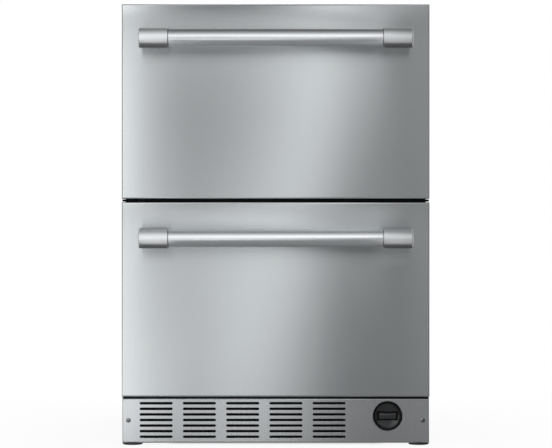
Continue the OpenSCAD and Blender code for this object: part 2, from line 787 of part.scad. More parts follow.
module thermostat() color(grey) {
    neck = 8;
    difference() {
        union() {
            translate([knob_x - thermo_w / 2, y_thermo, knob_zc - thermo_h / 2 + 2])
                cube([thermo_w, thermo_d, thermo_h - 4]);
            translate([knob_x - thermo_w / 2 + 4, y_thermo + thermo_d, knob_zc - thermo_h / 2 + 6])
                cube([thermo_w - 8, 4, thermo_h - 12]);
            along_y(knob_x, y_thermo - neck, knob_zc, neck_d / 2, neck + 1);
            along_y(knob_x, y_thermo - pan_t - 3, knob_zc, neck_d / 2 + 2.5, 3);
        }
        along_y(knob_x, y_thermo - neck - 1, knob_zc, knob_shaft_d / 2 + run_clear, neck + 10);
    }
}

// Capillary from the thermostat to a bulb on the liner's side above the step
module thermostat_sensor() color(copper) {
    z0 = knob_zc + 6;
    y0 = y_thermo + thermo_d + 4;
    zb = step_z + 52;
    bent_tube([[knob_x + 8, y0, z0], [knob_x + 8, y_cab + 30, z0], [sensor_x, y_cab + 30, z0],
        [sensor_x, sensor_y, z0], [sensor_x, sensor_y, zb], [sensor_x, sensor_y + 24, zb]], 1.5, 5);
    along_y(sensor_x, sensor_y + 24, zb, 4, 70);
}

// ---- Rear of the machine space -------------------------------------------------------------

module machine_cover() color(black) {
    w = cabinet_w - 2 * sheet_t - 1;
    slot_pitch = (cabinet_w - 112) / 9;
    z0 = base_z + 1;
    z1 = machine_top - sheet_t - 1;
    y = y_cover - sheet_t;
    difference() {
        plate_y(y, sheet_t) round_rect(-w / 2, z0, w, z1 - z0, 3);
        // Air slots behind the fan and beside the compressor
        plate_y(y - 1, sheet_t + 2) for (i = [-4 : 4], j = [0 : 7])
            translate([20 + i * slot_pitch, z0 + 54 + j * 20]) slot_2d(slot_pitch - 12, 7);
        for (s = [-1, 1], z = cover_screw_z)
            along_y(s * cover_screw_x, y - 1, z, cover_screw_d / 2 + screw_fit, sheet_t + 2);
        along_y(gland_x, y - 1, gland_z, gland_thread / 2 + screw_fit, sheet_t + 2);
    }
}

module cover_screws() color(steel) for (s = [-1, 1], z = cover_screw_z)
    translate([s * cover_screw_x, 0, z]) rotate([0, 0, 180])
        pan_screw(0, -y_cover, 0, 8, cover_screw_d, 9);

// Bush and lock nut that the supply cord would pass through
module cord_gland() color(black) difference() {
    union() {
        along_y(gland_x, y_cover - 16, gland_z, gland_thread / 2, 16 + 4);
        along_y(gland_x, y_cover, gland_z, gland_thread / 2 + 4, 5);
        along_y(gland_x, y_cover + 5, gland_z, gland_thread / 2 - 2, 8);
        translate([gland_x, y_cover - sheet_t - 5, gland_z]) rotate([-90, 0, 0])
            cylinder(r = gland_thread / 2 + 5, h = 5, $fn = 6);
    }
    along_y(gland_x, y_cover - 17, gland_z, gland_bore / 2, 31);
}

// ---- Cooling unit --------------------------------------------------------------------------

// Welded pot with a domed top and bottom, a seam flange, a foot plate and tube stubs
module compressor() color(black) {
    r = pot_d / 2;
    edge = r * 0.36;
    translate([pot_x, yc_pot, pot_z + 3]) {
        rotate_extrude() {
            translate([0, edge]) square([r, pot_h - 2 * edge]);
            square([r - edge, pot_h]);
            difference() {
                for (z = [edge, pot_h - edge]) translate([r - edge, z]) circle(edge);
                translate([-2 * r, 0]) square([2 * r, pot_h]);
            }
            translate([0, pot_h * 0.3]) square([r + 5, 5]);
        }
    }
    translate([pot_x, yc_pot, pot_z]) difference() {
        linear_extrude(3 + eps) round_rect(-foot_x - 14, -foot_y - 14, 2 * foot_x + 28, 2 * foot_y + 28, 12);
        for (x = [-1, 1], y = [-1, 1]) translate([x * foot_x, y * foot_y, -1]) cylinder(d = foot_hole, h = 6);
    }
    // Suction, process and discharge stubs
    for (z = [0.34, 0.5, 0.7]) translate([pot_x + r - 8, yc_pot + (z - 0.5) * 90, pot_z + pot_h * z])
        rotate([0, 90, 0]) cylinder(d = line_d + 2, h = 20);
}

module compressor_feet() color(black) for (x = [-1, 1], y = [-1, 1])
    translate([pot_x + x * foot_x, yc_pot + y * foot_y, base_z + pan_t]) rotate_extrude() {
        difference() {
            union() {
                square([11, grommet_h]);
                translate([0, grommet_h * 0.3]) square([12.5, grommet_h * 0.4]);
            }
            translate([9.6, grommet_h * 0.5]) circle(1.6);
        }
        // Stud through the foot plate with its washer and nut
        translate([0, -pan_t - 2]) square([foot_hole / 2 - 0.4, grommet_h + pan_t + 12]);
        translate([0, grommet_h + 3]) square([8, 1.5]);
        translate([0, grommet_h + 4.5]) square([6, 5]);
    }

module compressor_terminal_cover() color(black) {
    w = 58;
    h = 62;
    d = 30;
    translate([pot_x, yc_pot - pot_d / 2 - d + 10, pot_z + 3 + pot_h * 0.3 + 9]) difference() {
        front_block(w, h, d, 5);
        translate([0, d - 10 + pot_d / 2, -1]) cylinder(d = pot_d + 0.6, h = h + 2);
    }
}

// A fin pack with serpentine tubes: fins across X, rows along Z, two files of tubes along Y
module fin_pack(w, d, h, fins, fin_t, rows, pitch, tube_d, end_t) {
    gap = (w - fin_t) / (fins - 1);
    for (i = [0 : fins - 1]) translate([-w / 2 + i * gap, -d / 2, 0]) cube([fin_t, d, h]);
    for (s = [0, 1]) translate([-w / 2 - end_t + s * (w + end_t), -d / 2, 0]) cube([end_t, d, h]);
    file = d / 4;
    for (k = [-1, 1]) {
        for (j = [0 : rows - 1]) translate([-w / 2 - end_t - 2, k * file, pitch * (j + 0.5)])
            rotate([0, 90, 0]) cylinder(d = tube_d, h = w + 2 * end_t + 4, $fn = 24);
        // Return bends, alternately on the right and the left
        for (j = [0 : rows - 2]) translate([(j % 2 == 0 ? 1 : -1) * (w / 2 + end_t + 2), k * file,
            pitch * (j + 1)]) rotate([90, j % 2 == 0 ? 0 : 180, 0]) rotate([0, 0, -90])
            rotate_extrude(angle = 180) translate([pitch / 2, 0]) circle(d = tube_d, $fn = 24);
    }
    // Return bend that joins the two files at the lowest row
    translate([-w / 2 - end_t - 2, 0, pitch / 2]) rotate([0, 0, 90])
        rotate_extrude(angle = 180) translate([file, 0]) circle(d = tube_d, $fn = 24);
}

module condenser() color(copper) {
    translate([cond_x, y_cond, cond_z])
        fin_pack(cond_w, cond_d, cond_h, cond_fins, 0.8, cond_rows, cond_pitch, cond_tube_d, 2);
    // Feet of the end plates, standing on the base pan
    for (s = [0, 1]) translate([cond_x - cond_w / 2 - 2 + s * (cond_w + 2), y_cond - cond_d / 2,
        base_z + pan_t]) cube([2, cond_d, cond_z - base_z - pan_t + 1]);
}

// Sheet hood behind the condenser with a round throat, and the motor's three-armed bracket
module fan_shroud() color(black) {
    t = 2;
    hood = 30;
    throat = 43;
    arm_t = 4;
    arm_w = 10;
    arm_x = motor_d / 4 + 0.5;
    x0 = cond_x - cond_w / 2 - t;
    y0 = y_cond + cond_d / 2;
    z0 = base_z + pan_t;
    h = cond_z + cond_h - z0;
    r = fan_d / 2 + 4;
    difference() {
        union() {
            translate([x0, y0 + hood - t, z0]) cube([cond_w + 2 * t, t, h]);
            for (s = [0, 1]) translate([x0 + s * (cond_w + t), y0, z0]) cube([t, hood, h]);
            translate([x0, y0, z0 + h - t]) cube([cond_w + 2 * t, hood, t]);
            along_y(cond_x, y0 + hood - t, fan_z, r + t, throat - hood + t);
        }
        along_y(cond_x, y0 + hood - t - 1, fan_z, r, throat - hood + t + 2);
    }
    // The arms end inside the throat's wall, a little short of its rear edge
    for (a = [90, 210, 330]) translate([cond_x, y0 + throat - arm_t - 1, fan_z]) rotate([0, a, 0])
        translate([arm_x, 0, -arm_w / 2]) cube([r + t / 2 - arm_x, arm_t, arm_w]);
}

module condenser_fan_motor() color(grey) difference() {
    union() {
        along_y(cond_x, y_fan + 8, fan_z, motor_d / 2, motor_len);
        along_y(cond_x, y_fan + 4, fan_z, motor_d / 4, 5);
        along_y(cond_x, y_fan - 18, fan_z, shaft_d / 2, 23);
    }
    for (a = [0 : 45 : 315]) translate([cond_x, y_fan + 8 + motor_len, fan_z]) rotate([0, a, 0])
        translate([motor_d / 4, 0, 0]) cube([motor_d / 4, 4, 3], center = true);
}

// An axial fan about Y: flat blades set at a pitch, cut to a circle, on a bored hub
module fan_blade(d, blades, hub_d, hub_h, blade_pitch) {
    rotate([-90, 0, 0]) difference() {
        union() {
            cylinder(d = hub_d, h = hub_h, center = true);
            intersection() {
                cylinder(d = d, h = hub_h * 2, center = true);
                for (i = [0 : blades - 1]) rotate([0, 0, i * 360 / blades]) rotate([blade_pitch, 0, 0])
                    linear_extrude(1.4, center = true) union() {
                        translate([0, -d * 0.11]) square([d / 2, d * 0.22]);
                        translate([d * 0.36, 0]) circle(d * 0.17);
                    }
            }
        }
        cylinder(r = shaft_d / 2 + run_clear, h = hub_h * 3, center = true);
    }
}

module condenser_fan_blade() color(black) translate([cond_x, y_fan - 12, fan_z])
    fan_blade(fan_d, 5, 36, 12, 28);

module filter_drier() color(copper) translate([drier_x, y_cond - cond_d / 4, drier_z]) rotate_extrude()
    polygon([[0, 0], [3, 0], [3, 10], [10, 22], [10, drier_h - 22], [3, drier_h - 10], [3, drier_h],
        [0, drier_h]]);

module refrigerant_lines() color(copper) {
    r = line_d / 2;
    b = line_d * 2;
    stub_x = pot_x + pot_d / 2 + 12;
    zt = pot_z + pot_h * 0.7;
    zs = pot_z + pot_h * 0.34;
    end_x = cond_x - cond_w / 2 - 4;
    y_in = y_cond + cond_d / 4;
    y_out = y_cond - cond_d / 4;
    evap_x = -evap_w / 2 - 3.5;
    // Discharge line from the compressor to the condenser's top row
    bent_tube([[stub_x, yc_pot + 18, zt], [stub_x + 22, yc_pot + 18, zt], [stub_x + 22, y_in, zt],
        [stub_x + 22, y_in, cond_top], [end_x, y_in, cond_top]], r * 0.75, line_d * 1.5);
    // Suction line from the evaporator down to the compressor
    bent_tube([[stub_x, yc_pot - 14.4, zs], [suction_x, yc_pot - 14.4, zs], [suction_x, suction_y, zs],
        [suction_x, suction_y, evap_z - 30], [evap_x - 24, suction_y, evap_z - 30],
        [evap_x - 24, suction_y, evap_top], [evap_x, suction_y, evap_top]], r, b);
    // Liquid line from the condenser to the drier
    bent_tube([[end_x, y_out, cond_top], [drier_x, y_out, cond_top], [drier_x, y_out, drier_z + drier_h]],
        2.5, 6);
    // Capillary from the drier, soldered to the suction line
    bent_tube([[drier_x, y_out, drier_z], [drier_x, y_out, drier_z - 14], [drier_x, suction_y, drier_z - 14],
        [drier_x, suction_y, drier_z + 50], [suction_x + r - 1, suction_y, drier_z + 50]], 1.5, 4);
}

module drain_pan() color(black) {
    x0 = drain_x - 16;
    w = cond_x - x0 + 40;
    y0 = y_cond + cond_d / 2 + 31;
    d = y_cover - 14 - y0;
    translate([0, 0, base_z + pan_t]) difference() {
        linear_extrude(18) round_rect(x0, y0, w, d, 8);
        translate([0, 0, 2]) linear_extrude(18) round_rect(x0 + 2, y0 + 2, w - 4, d - 4, 6);
    }
}

module drain_tube() color(grey) difference() {
    union() {
        translate([drain_x, drain_y, base_z + pan_t + 8])
            cylinder(d = drain_d, h = step_z - base_z - pan_t - 8);
        translate([drain_x, drain_y, step_z]) cylinder(d = drain_d + 8, h = 1.5);
    }
    translate([drain_x, drain_y, base_z]) cylinder(d = drain_d - 3, h = step_z);
}

module evaporator() color(grey) translate([0, y_evap, evap_z])
    fin_pack(evap_w, 28, evap_h, evap_fins, 0.6, evap_rows, evap_pitch, 8, 1.5);

// Vacuum-formed air duct in front of the evaporator, with inlet slots and a fan grille
module evaporator_cover() color(white) {
    h = evap_cover_top - evap_cover_z;
    inlet_pitch = (2 * evap_cover_x - 52) / 5;
    difference() {
        translate([0, y_evap_cover, evap_cover_z]) folded_pan(2 * evap_cover_x, h, evap_cover_d, 2.5, 8);
        plate_y(y_evap_cover - 1, 5) {
            for (i = [-2 : 2], j = [0 : 3]) translate([i * inlet_pitch, evap_cover_z + 24 + j * 12])
                slot_2d(inlet_pitch - 18, 5);
            translate([0, evap_fan_z]) for (a = [0 : 30 : 330]) rotate(a)
                translate([evap_fan_d * 0.31, 0]) slot_2d(evap_fan_d * 0.26, 6);
        }
        translate([suction_x, suction_y, evap_cover_z - 1]) cylinder(d = line_d + 2, h = 6);
    }
}

module evaporator_fan_motor() color(black) {
    y0 = y_evap_cover + 20;
    along_y(0, y0, evap_fan_z, 19, cav_y - y0);
    along_y(0, y0 - 8, evap_fan_z, shaft_d / 2, 9);
}

module evaporator_fan_blade() color(white) translate([0, y_evap_cover + 13, evap_fan_z])
    fan_blade(evap_fan_d, 6, 22, 8, 24);

// Light bars under the ceiling and under the centre rail
module interior_lights() color([0.95, 0.96, 0.98]) {
    half = cav_x - 111;
    for (z = [cav_top, z_rail - rail_h / 2]) intersection() {
        translate([-half, y_cab + 26, z - 7]) cube([2 * half, 16, 7]);
        translate([-half, y_cab + 34, z - 1]) rotate([0, 90, 0]) cylinder(r = 8, h = 2 * half);
    }
}

// ---- Levelling legs ------------------------------------------------------------------------

// Pad with rounded edges, hexagon and stud
module leg(x, y) color(black) translate([x, y, 0]) {
    r = pad_d / 2;
    c = 1;
    rotate_extrude() {
        square([r - c, pad_h]);
        translate([0, c]) square([r, pad_h - 2 * c]);
        for (z = [c, pad_h - c]) translate([r - c, z]) circle(c);
    }
    translate([0, 0, pad_h - eps]) cylinder(d = hex_af / cos(30), h = hex_h, $fn = 6);
    cylinder(d = stud_d, h = stud_top);
}

module leg_front_left() leg(-leg_x, leg_y_front);
module leg_front_right() leg(leg_x, leg_y_front);
module leg_rear_left() leg(-leg_x, leg_y_rear);
module leg_rear_right() leg(leg_x, leg_y_rear);

// ---- Telescopic slides ---------------------------------------------------------------------

// C profile from u0 to u1 across, with turned lips on the open side
module channel_2d(u0, u1, h, t, r) difference() {
    round_rect(u0, -h / 2, u1 - u0, h, r);
    round_rect(u0 + t, -h / 2 + t, u1 - u0 - 2 * t, h - 2 * t, r - t);
    translate([u1 - 2 * t, -h / 2 + lip + t]) square([3 * t, h - 2 * lip - 2 * t]);
}

module outer_2d() channel_2d(0, slide_depth, slide_h, slide_t, 2.4);
module mid_2d() channel_2d(mid_u, slide_depth - mid_u, mid_h, slide_t, 2.2);
// The inner member is open towards the liner and its raised web reaches the bin
module inner_2d() {
    back = slide_depth - inner_u;
    rib = inner_h * 0.56;
    difference() {
        union() {
            translate([inner_u, -inner_h / 2]) square([back - inner_u, inner_h]);
            translate([back - slide_t, -rib / 2]) square([slide_gap - back + slide_t, rib]);
        }
        translate([inner_u - 1, -inner_h / 2 + slide_t])
            square([back - inner_u - slide_t + 1, inner_h - 2 * slide_t]);
        translate([inner_u, -rib / 2 + slide_t]) square([slide_gap - inner_u - slide_t, rib - 2 * slide_t]);
    }
}

// A left and a right member from y over a length, at height z
module slide_pair(y, len, z) for (s = [0, 1]) mirror([s, 0, 0])
    translate([cav_x, y + len, z]) rotate([90, 0, 0]) linear_extrude(len) mirror([1, 0]) children();

module upper_outer_slides() color(steel) slide_pair(slide_y, slide_len_up, slide_z_up) outer_2d();
module lower_outer_slides() color(steel) slide_pair(slide_y, slide_len_low, slide_z_low) outer_2d();
module upper_mid_slides() color(steel) slide_pair(slide_y + 2, slide_len_up - 6, slide_z_up) mid_2d();
module lower_mid_slides() color(steel) slide_pair(slide_y + 2, slide_len_low - 6, slide_z_low) mid_2d();
module upper_inner_slides() color(steel)
    slide_pair(y_bin, min(slide_len_up, bin_d_up) - 8, slide_z_up) inner_2d();
module lower_inner_slides() color(steel)
    slide_pair(y_bin, min(slide_len_low, bin_d_low) - 8, slide_z_low) inner_2d();

// ---- Drawers -------------------------------------------------------------------------------

// Folded stainless skin with a narrow return, and clearance holes for the handle's screws
module front_skin(z, handle_z) color(steel) difference() {
    union() {
        translate([0, y_face, z]) folded_pan(front_w, front_h, front_t, skin_t, fold_r);
        translate([0, 0, z]) frame_ring(front_w, front_h, y_rear - skin_t, skin_t, skin_return);
    }
    for (s = [-1, 1]) along_y(s * cap_x, y_face - 1, handle_z, handle_screw_d / 2 + screw_fit, skin_t + 2);
}

// Foam core, with a raised block inside the panel's field
module front_core(z, handle_z, field_z, field_h) color([0.93, 0.86, 0.6]) difference() {
    union() {
        translate([0, y_face + skin_t, z + skin_t])
            front_block(front_w - 2 * skin_t, front_h - 2 * skin_t, front_t - 2 * skin_t - panel_t,
                fold_r - skin_t);
        translate([-field_x + panel_t, y_panel - panel_t - eps, field_z + panel_t])
            cube([2 * (field_x - panel_t), field_d + eps, field_h - 2 * panel_t]);
    }
    for (s = [-1, 1]) {
        along_y(s * cap_x, y_face, handle_z, handle_screw_d / 2 + screw_fit, front_t);
        along_y(s * cap_x, y_face + 26, handle_z, handle_screw_head / 2 + screw_fit, front_t);
    }
}

// Formed inner panel whose raised field carries the bin
module front_panel(z, field_z, field_h) color(white) {
    w = front_w - 2 * skin_t - 1;
    h = front_h - 2 * skin_t - 1;
    difference() {
        union() {
            translate([-w / 2, y_panel - panel_t, z + skin_t + 0.5]) cube([w, panel_t, h]);
            translate([0, y_panel + field_d, field_z]) mirror([0, 1, 0])
                front_block(2 * field_x, field_h, field_d + eps, 3);
        }
        translate([-field_x + panel_t, y_panel - panel_t - 1, field_z + panel_t])
            cube([2 * (field_x - panel_t), field_d + 1, field_h - 2 * panel_t]);
    }
}

// Base, neck and magnet tube of the seal, as three frames one on the other
module seal(z) color(black) {
    layers = [[seal_base_w, 0, seal_base_t], [seal_neck_w, seal_base_t, seal_neck_t],
        [seal_tube_w, seal_base_t + seal_neck_t, seal_tube_t]];
    for (l = layers) {
        inset = seal_inset + (seal_base_w - l[0]) / 2;
        translate([0, 0, z + inset])
            frame_ring(front_w - 2 * inset, front_h - 2 * inset, y_panel + l[1], l[2], l[0]);
    }
}

// Round bar between the caps, with spigots that enter them
module handle_bar(z) color(polished) translate([-bar_len / 2, y_bar, z]) rotate([0, 90, 0]) {
    cylinder(d = bar_d, h = bar_len);
    translate([0, 0, -cap_groove]) cylinder(d = bar_d - cap_groove_d, h = bar_len + 2 * cap_groove);
}

// End caps, each with a slightly domed end and a post to the drawer front
module handle_caps(z) color(steel) for (s = [0, 1]) mirror([s, 0, 0]) {
    r = cap_d / 2;
    edge = 2.5;
    body_len = cap_len - cap_groove - cap_dome;
    dome_r = (pow(r - edge, 2) + pow(cap_dome, 2)) / (2 * cap_dome);
    difference() {
        union() {
            translate([bar_len / 2 + cap_groove, y_bar, z]) rotate([0, 90, 0]) union() {
                cylinder(r = r, h = body_len - edge);
                rotate_extrude() {
                    translate([0, body_len - edge]) square([r - edge, edge]);
                    translate([r - edge, body_len - edge]) intersection() {
                        circle(edge);
                        square([edge, edge]);
                    }
                }
                intersection() {
                    translate([0, 0, body_len - eps]) cylinder(r = r - edge, h = cap_dome + 2 * eps);
                    translate([0, 0, body_len + cap_dome - dome_r]) sphere(dome_r, $fn = 128);
                }
            }
            along_y(cap_x, y_bar, z, post_d / 2, handle_standoff);
            along_y(cap_x, y_face - 2, z, post_d / 2 + 2, 2);
        }
        along_y(cap_x, y_bar + 10, z, handle_screw_d / 2 + run_clear, handle_standoff);
    }
}

module handle_screws(z) color(steel) for (s = [-1, 1]) {
    along_y(s * cap_x, y_bar + 16, z, handle_screw_d / 2, y_face + 26 - y_bar - 16 + eps);
    difference() {
        along_y(s * cap_x, y_face + 26, z, handle_screw_head / 2, 5);
        translate([s * cap_x, y_face + 33, z]) rotate([90, 0, 0]) cylinder(d = 6, h = 5, $fn = 6);
    }
}

// Open bin with a rolled rim, vent slots at the back and stiffening ribs under its floor
module bin(z, d, h) color(white) {
    w = 2 * bin_x;
    translate([0, y_bin, z]) {
        difference() {
            union() {
                linear_extrude(h) round_rect(-bin_x, 0, w, d, bin_r);
                translate([0, 0, h - rim_t]) linear_extrude(rim_t)
                    round_rect(-rim_x, 0, 2 * rim_x, d + rim_w, bin_r);
                // Foot of the front wall that lies flat against the panel
                translate([-field_x + bin_r, 0, 0]) cube([2 * (field_x - bin_r), bin_t, h]);
            }
            translate([0, 0, bin_t]) linear_extrude(h) round_rect(-bin_x + bin_t, bin_t, w - 2 * bin_t,
                d - 2 * bin_t, bin_r - bin_t);
            translate([0, d - 2 * bin_t, 0]) plate_y(0, 3 * bin_t)
                for (i = [-3 : 3], j = [0 : 2]) translate([i * vent_pitch, h - 40 - j * 16])
                    slot_2d(vent_pitch - vent_gap, 6);
        }
        for (i = [-3 : 3]) translate([i * w / 8 - 2, bin_r, -3]) cube([4, d - 2 * bin_r, 3 + eps]);
    }
}

// Plate across a bin, hung by two hooks over the rim
module bin_divider(z, d, h) color([0.78, 0.82, 0.84]) {
    y = y_bin + d / 2;
    reach = bin_x - bin_t - divider_clear;
    hook_z = z + h + divider_clear;
    difference() {
        union() {
            translate([-reach, y, z + h - divider_h])
                cube([2 * reach, divider_t, divider_h + divider_clear + 2]);
            translate([-rim_x, y - 12, hook_z]) cube([2 * rim_x, 24 + divider_t, 2]);
        }
        translate([-reach + 30, y - 13, hook_z - 1]) cube([2 * reach - 60, 13, 4]);
        translate([-reach + 30, y + divider_t, hook_z - 1]) cube([2 * reach - 60, 13, 4]);
        // Two rows of air slots
        plate_y(y - 1, divider_t + 2) for (i = [-3 : 3], j = [0, 1])
            translate([i * vent_pitch, z + h - divider_h + 50 + j * 40])
                slot_2d(vent_pitch - vent_gap - 2, 8);
    }
}

module upper_front_skin() front_skin(z_up, handle_z_up);
module upper_front_core() front_core(z_up, handle_z_up, z_bin_up, bin_h_up - 8);
module upper_front_panel() front_panel(z_up, z_bin_up, bin_h_up - 8);
module upper_seal() seal(z_up);
module upper_handle_bar() handle_bar(handle_z_up);
module upper_handle_caps() handle_caps(handle_z_up);
module upper_handle_screws() handle_screws(handle_z_up);
module upper_bin() bin(z_bin_up, bin_d_up, bin_h_up);
module upper_bin_divider() bin_divider(z_bin_up, bin_d_up, bin_h_up);

module lower_front_skin() front_skin(z_low, handle_z_low);
module lower_front_core() front_core(z_low, handle_z_low, z_bin_low, bin_h_low - 8);
module lower_front_panel() front_panel(z_low, z_bin_low, bin_h_low - 8);
module lower_seal() seal(z_low);
module lower_handle_bar() handle_bar(handle_z_low);
module lower_handle_caps() handle_caps(handle_z_low);
module lower_handle_screws() handle_screws(handle_z_low);
module lower_bin() bin(z_bin_low, bin_d_low, bin_h_low);
module lower_bin_divider() bin_divider(z_bin_low, bin_d_low, bin_h_low);

cabinet_shell();
back_panel();
cabinet_insulation();
inner_liner();
centre_rail();
base_pan();
leg_nuts();
toe_grille();
grille_screws();
machine_cover();
cover_screws();
cord_gland();
compressor();
compressor_feet();
compressor_terminal_cover();
condenser();
fan_shroud();
condenser_fan_motor();
condenser_fan_blade();
filter_drier();
refrigerant_lines();
drain_pan();
drain_tube();
evaporator();
evaporator_cover();
evaporator_fan_motor();
evaporator_fan_blade();
thermostat();
thermostat_sensor();
interior_lights();
control_knob();
leg_front_left();
leg_front_right();
leg_rear_left();
leg_rear_right();
upper_outer_slides();
lower_outer_slides();
upper_mid_slides();
lower_mid_slides();
upper_front_skin();
upper_front_core();
upper_front_panel();
upper_seal();
upper_handle_bar();
upper_handle_caps();
upper_handle_screws();
upper_bin();
upper_inner_slides();
upper_bin_divider();
lower_front_skin();
lower_front_core();
lower_front_panel();
lower_seal();
lower_handle_bar();
lower_handle_caps();
lower_handle_screws();
lower_bin();
lower_inner_slides();
lower_bin_divider();
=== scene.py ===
"""Looks of an undercounter refrigerator with two drawers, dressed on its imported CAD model.

Metres, in the CAD model's frame: X to the right, the drawers open towards -Y, Z up, floor at Z 0.
"""

import json
import math

import bmesh
import bpy
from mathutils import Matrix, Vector


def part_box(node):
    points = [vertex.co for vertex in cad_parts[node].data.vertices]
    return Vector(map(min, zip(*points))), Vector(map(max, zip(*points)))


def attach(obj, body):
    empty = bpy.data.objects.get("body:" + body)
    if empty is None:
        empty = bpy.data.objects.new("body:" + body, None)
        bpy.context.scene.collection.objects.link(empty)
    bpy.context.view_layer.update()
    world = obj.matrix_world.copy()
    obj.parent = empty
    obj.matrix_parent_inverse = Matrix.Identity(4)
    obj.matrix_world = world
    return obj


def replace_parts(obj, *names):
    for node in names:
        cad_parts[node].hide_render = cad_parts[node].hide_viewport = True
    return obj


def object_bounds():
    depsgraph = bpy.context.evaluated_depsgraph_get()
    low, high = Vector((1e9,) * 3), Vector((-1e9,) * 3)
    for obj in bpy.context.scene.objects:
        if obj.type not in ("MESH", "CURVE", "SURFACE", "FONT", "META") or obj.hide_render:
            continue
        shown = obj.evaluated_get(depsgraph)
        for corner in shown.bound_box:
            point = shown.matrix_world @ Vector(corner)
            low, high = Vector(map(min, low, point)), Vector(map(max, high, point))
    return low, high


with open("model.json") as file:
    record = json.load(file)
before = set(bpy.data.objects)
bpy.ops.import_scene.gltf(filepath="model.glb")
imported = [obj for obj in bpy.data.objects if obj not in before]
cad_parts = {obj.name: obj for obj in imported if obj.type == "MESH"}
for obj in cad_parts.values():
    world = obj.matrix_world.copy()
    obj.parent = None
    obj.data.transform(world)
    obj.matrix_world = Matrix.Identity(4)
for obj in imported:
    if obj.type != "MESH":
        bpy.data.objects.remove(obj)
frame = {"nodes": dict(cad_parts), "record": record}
NODES = frame["nodes"]
SUBPARTS = frame["record"]["subparts"]
CAD_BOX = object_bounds()

# ---- Places read from the CAD model ----------------------------------------------------------

SKIN_LOW, SKIN_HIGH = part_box("upper_front_skin")
LOWER_SKIN_LOW, LOWER_SKIN_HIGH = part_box("lower_front_skin")
GRILLE_LOW, GRILLE_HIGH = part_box("toe_grille")
BASE_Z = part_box("base_pan")[0].z
CABINET_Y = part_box("cabinet_shell")[0].y
FACE_Y = SKIN_LOW.y
DRAWERS = {"upper": "upper_drawer", "lower": "lower_drawer"}

# The camera stands level in front of the drawers; VIEW_WIDTH is what it sees across at their faces.
CAMERA_DISTANCE = 3.8
CAMERA_X = 0.0007
CAMERA_Z = 0.4356
VIEW_WIDTH = 1.0858
SENSOR = 36.0


# ---- Material building -----------------------------------------------------------------------


def node(tree, kind, settings=None, **inputs):
    """A shader node with its settings and inputs.

    An input is a value or another node's output. It is named after its socket, or _0, _1 and so on
    after the socket's place in the list.
    """
    made = tree.nodes.new(kind)
    for key, value in (settings or {}).items():
        setattr(made, key, value)
    for key, value in inputs.items():
        socket = made.inputs[int(key[1:])] if key[1:].isdigit() else made.inputs[key.replace("_", " ")]
        if isinstance(value, bpy.types.NodeSocket):
            tree.links.new(value, socket)
        else:
            socket.default_value = value
    return made


def scaled(colour, gain, lift=0.0):
    return tuple(c * gain + lift for c in colour)


# In the finishes, noise and cell scales are features per metre. The radii of round_off and edges
# and the distance of bump are metres.
BEVEL_SAMPLES = 4
EDGE_GAIN = 6.0
SUBSURFACE_DEPTH = 0.004
# Scale along a brushed grain; across it the scale is 1.
GRAIN = 0.012


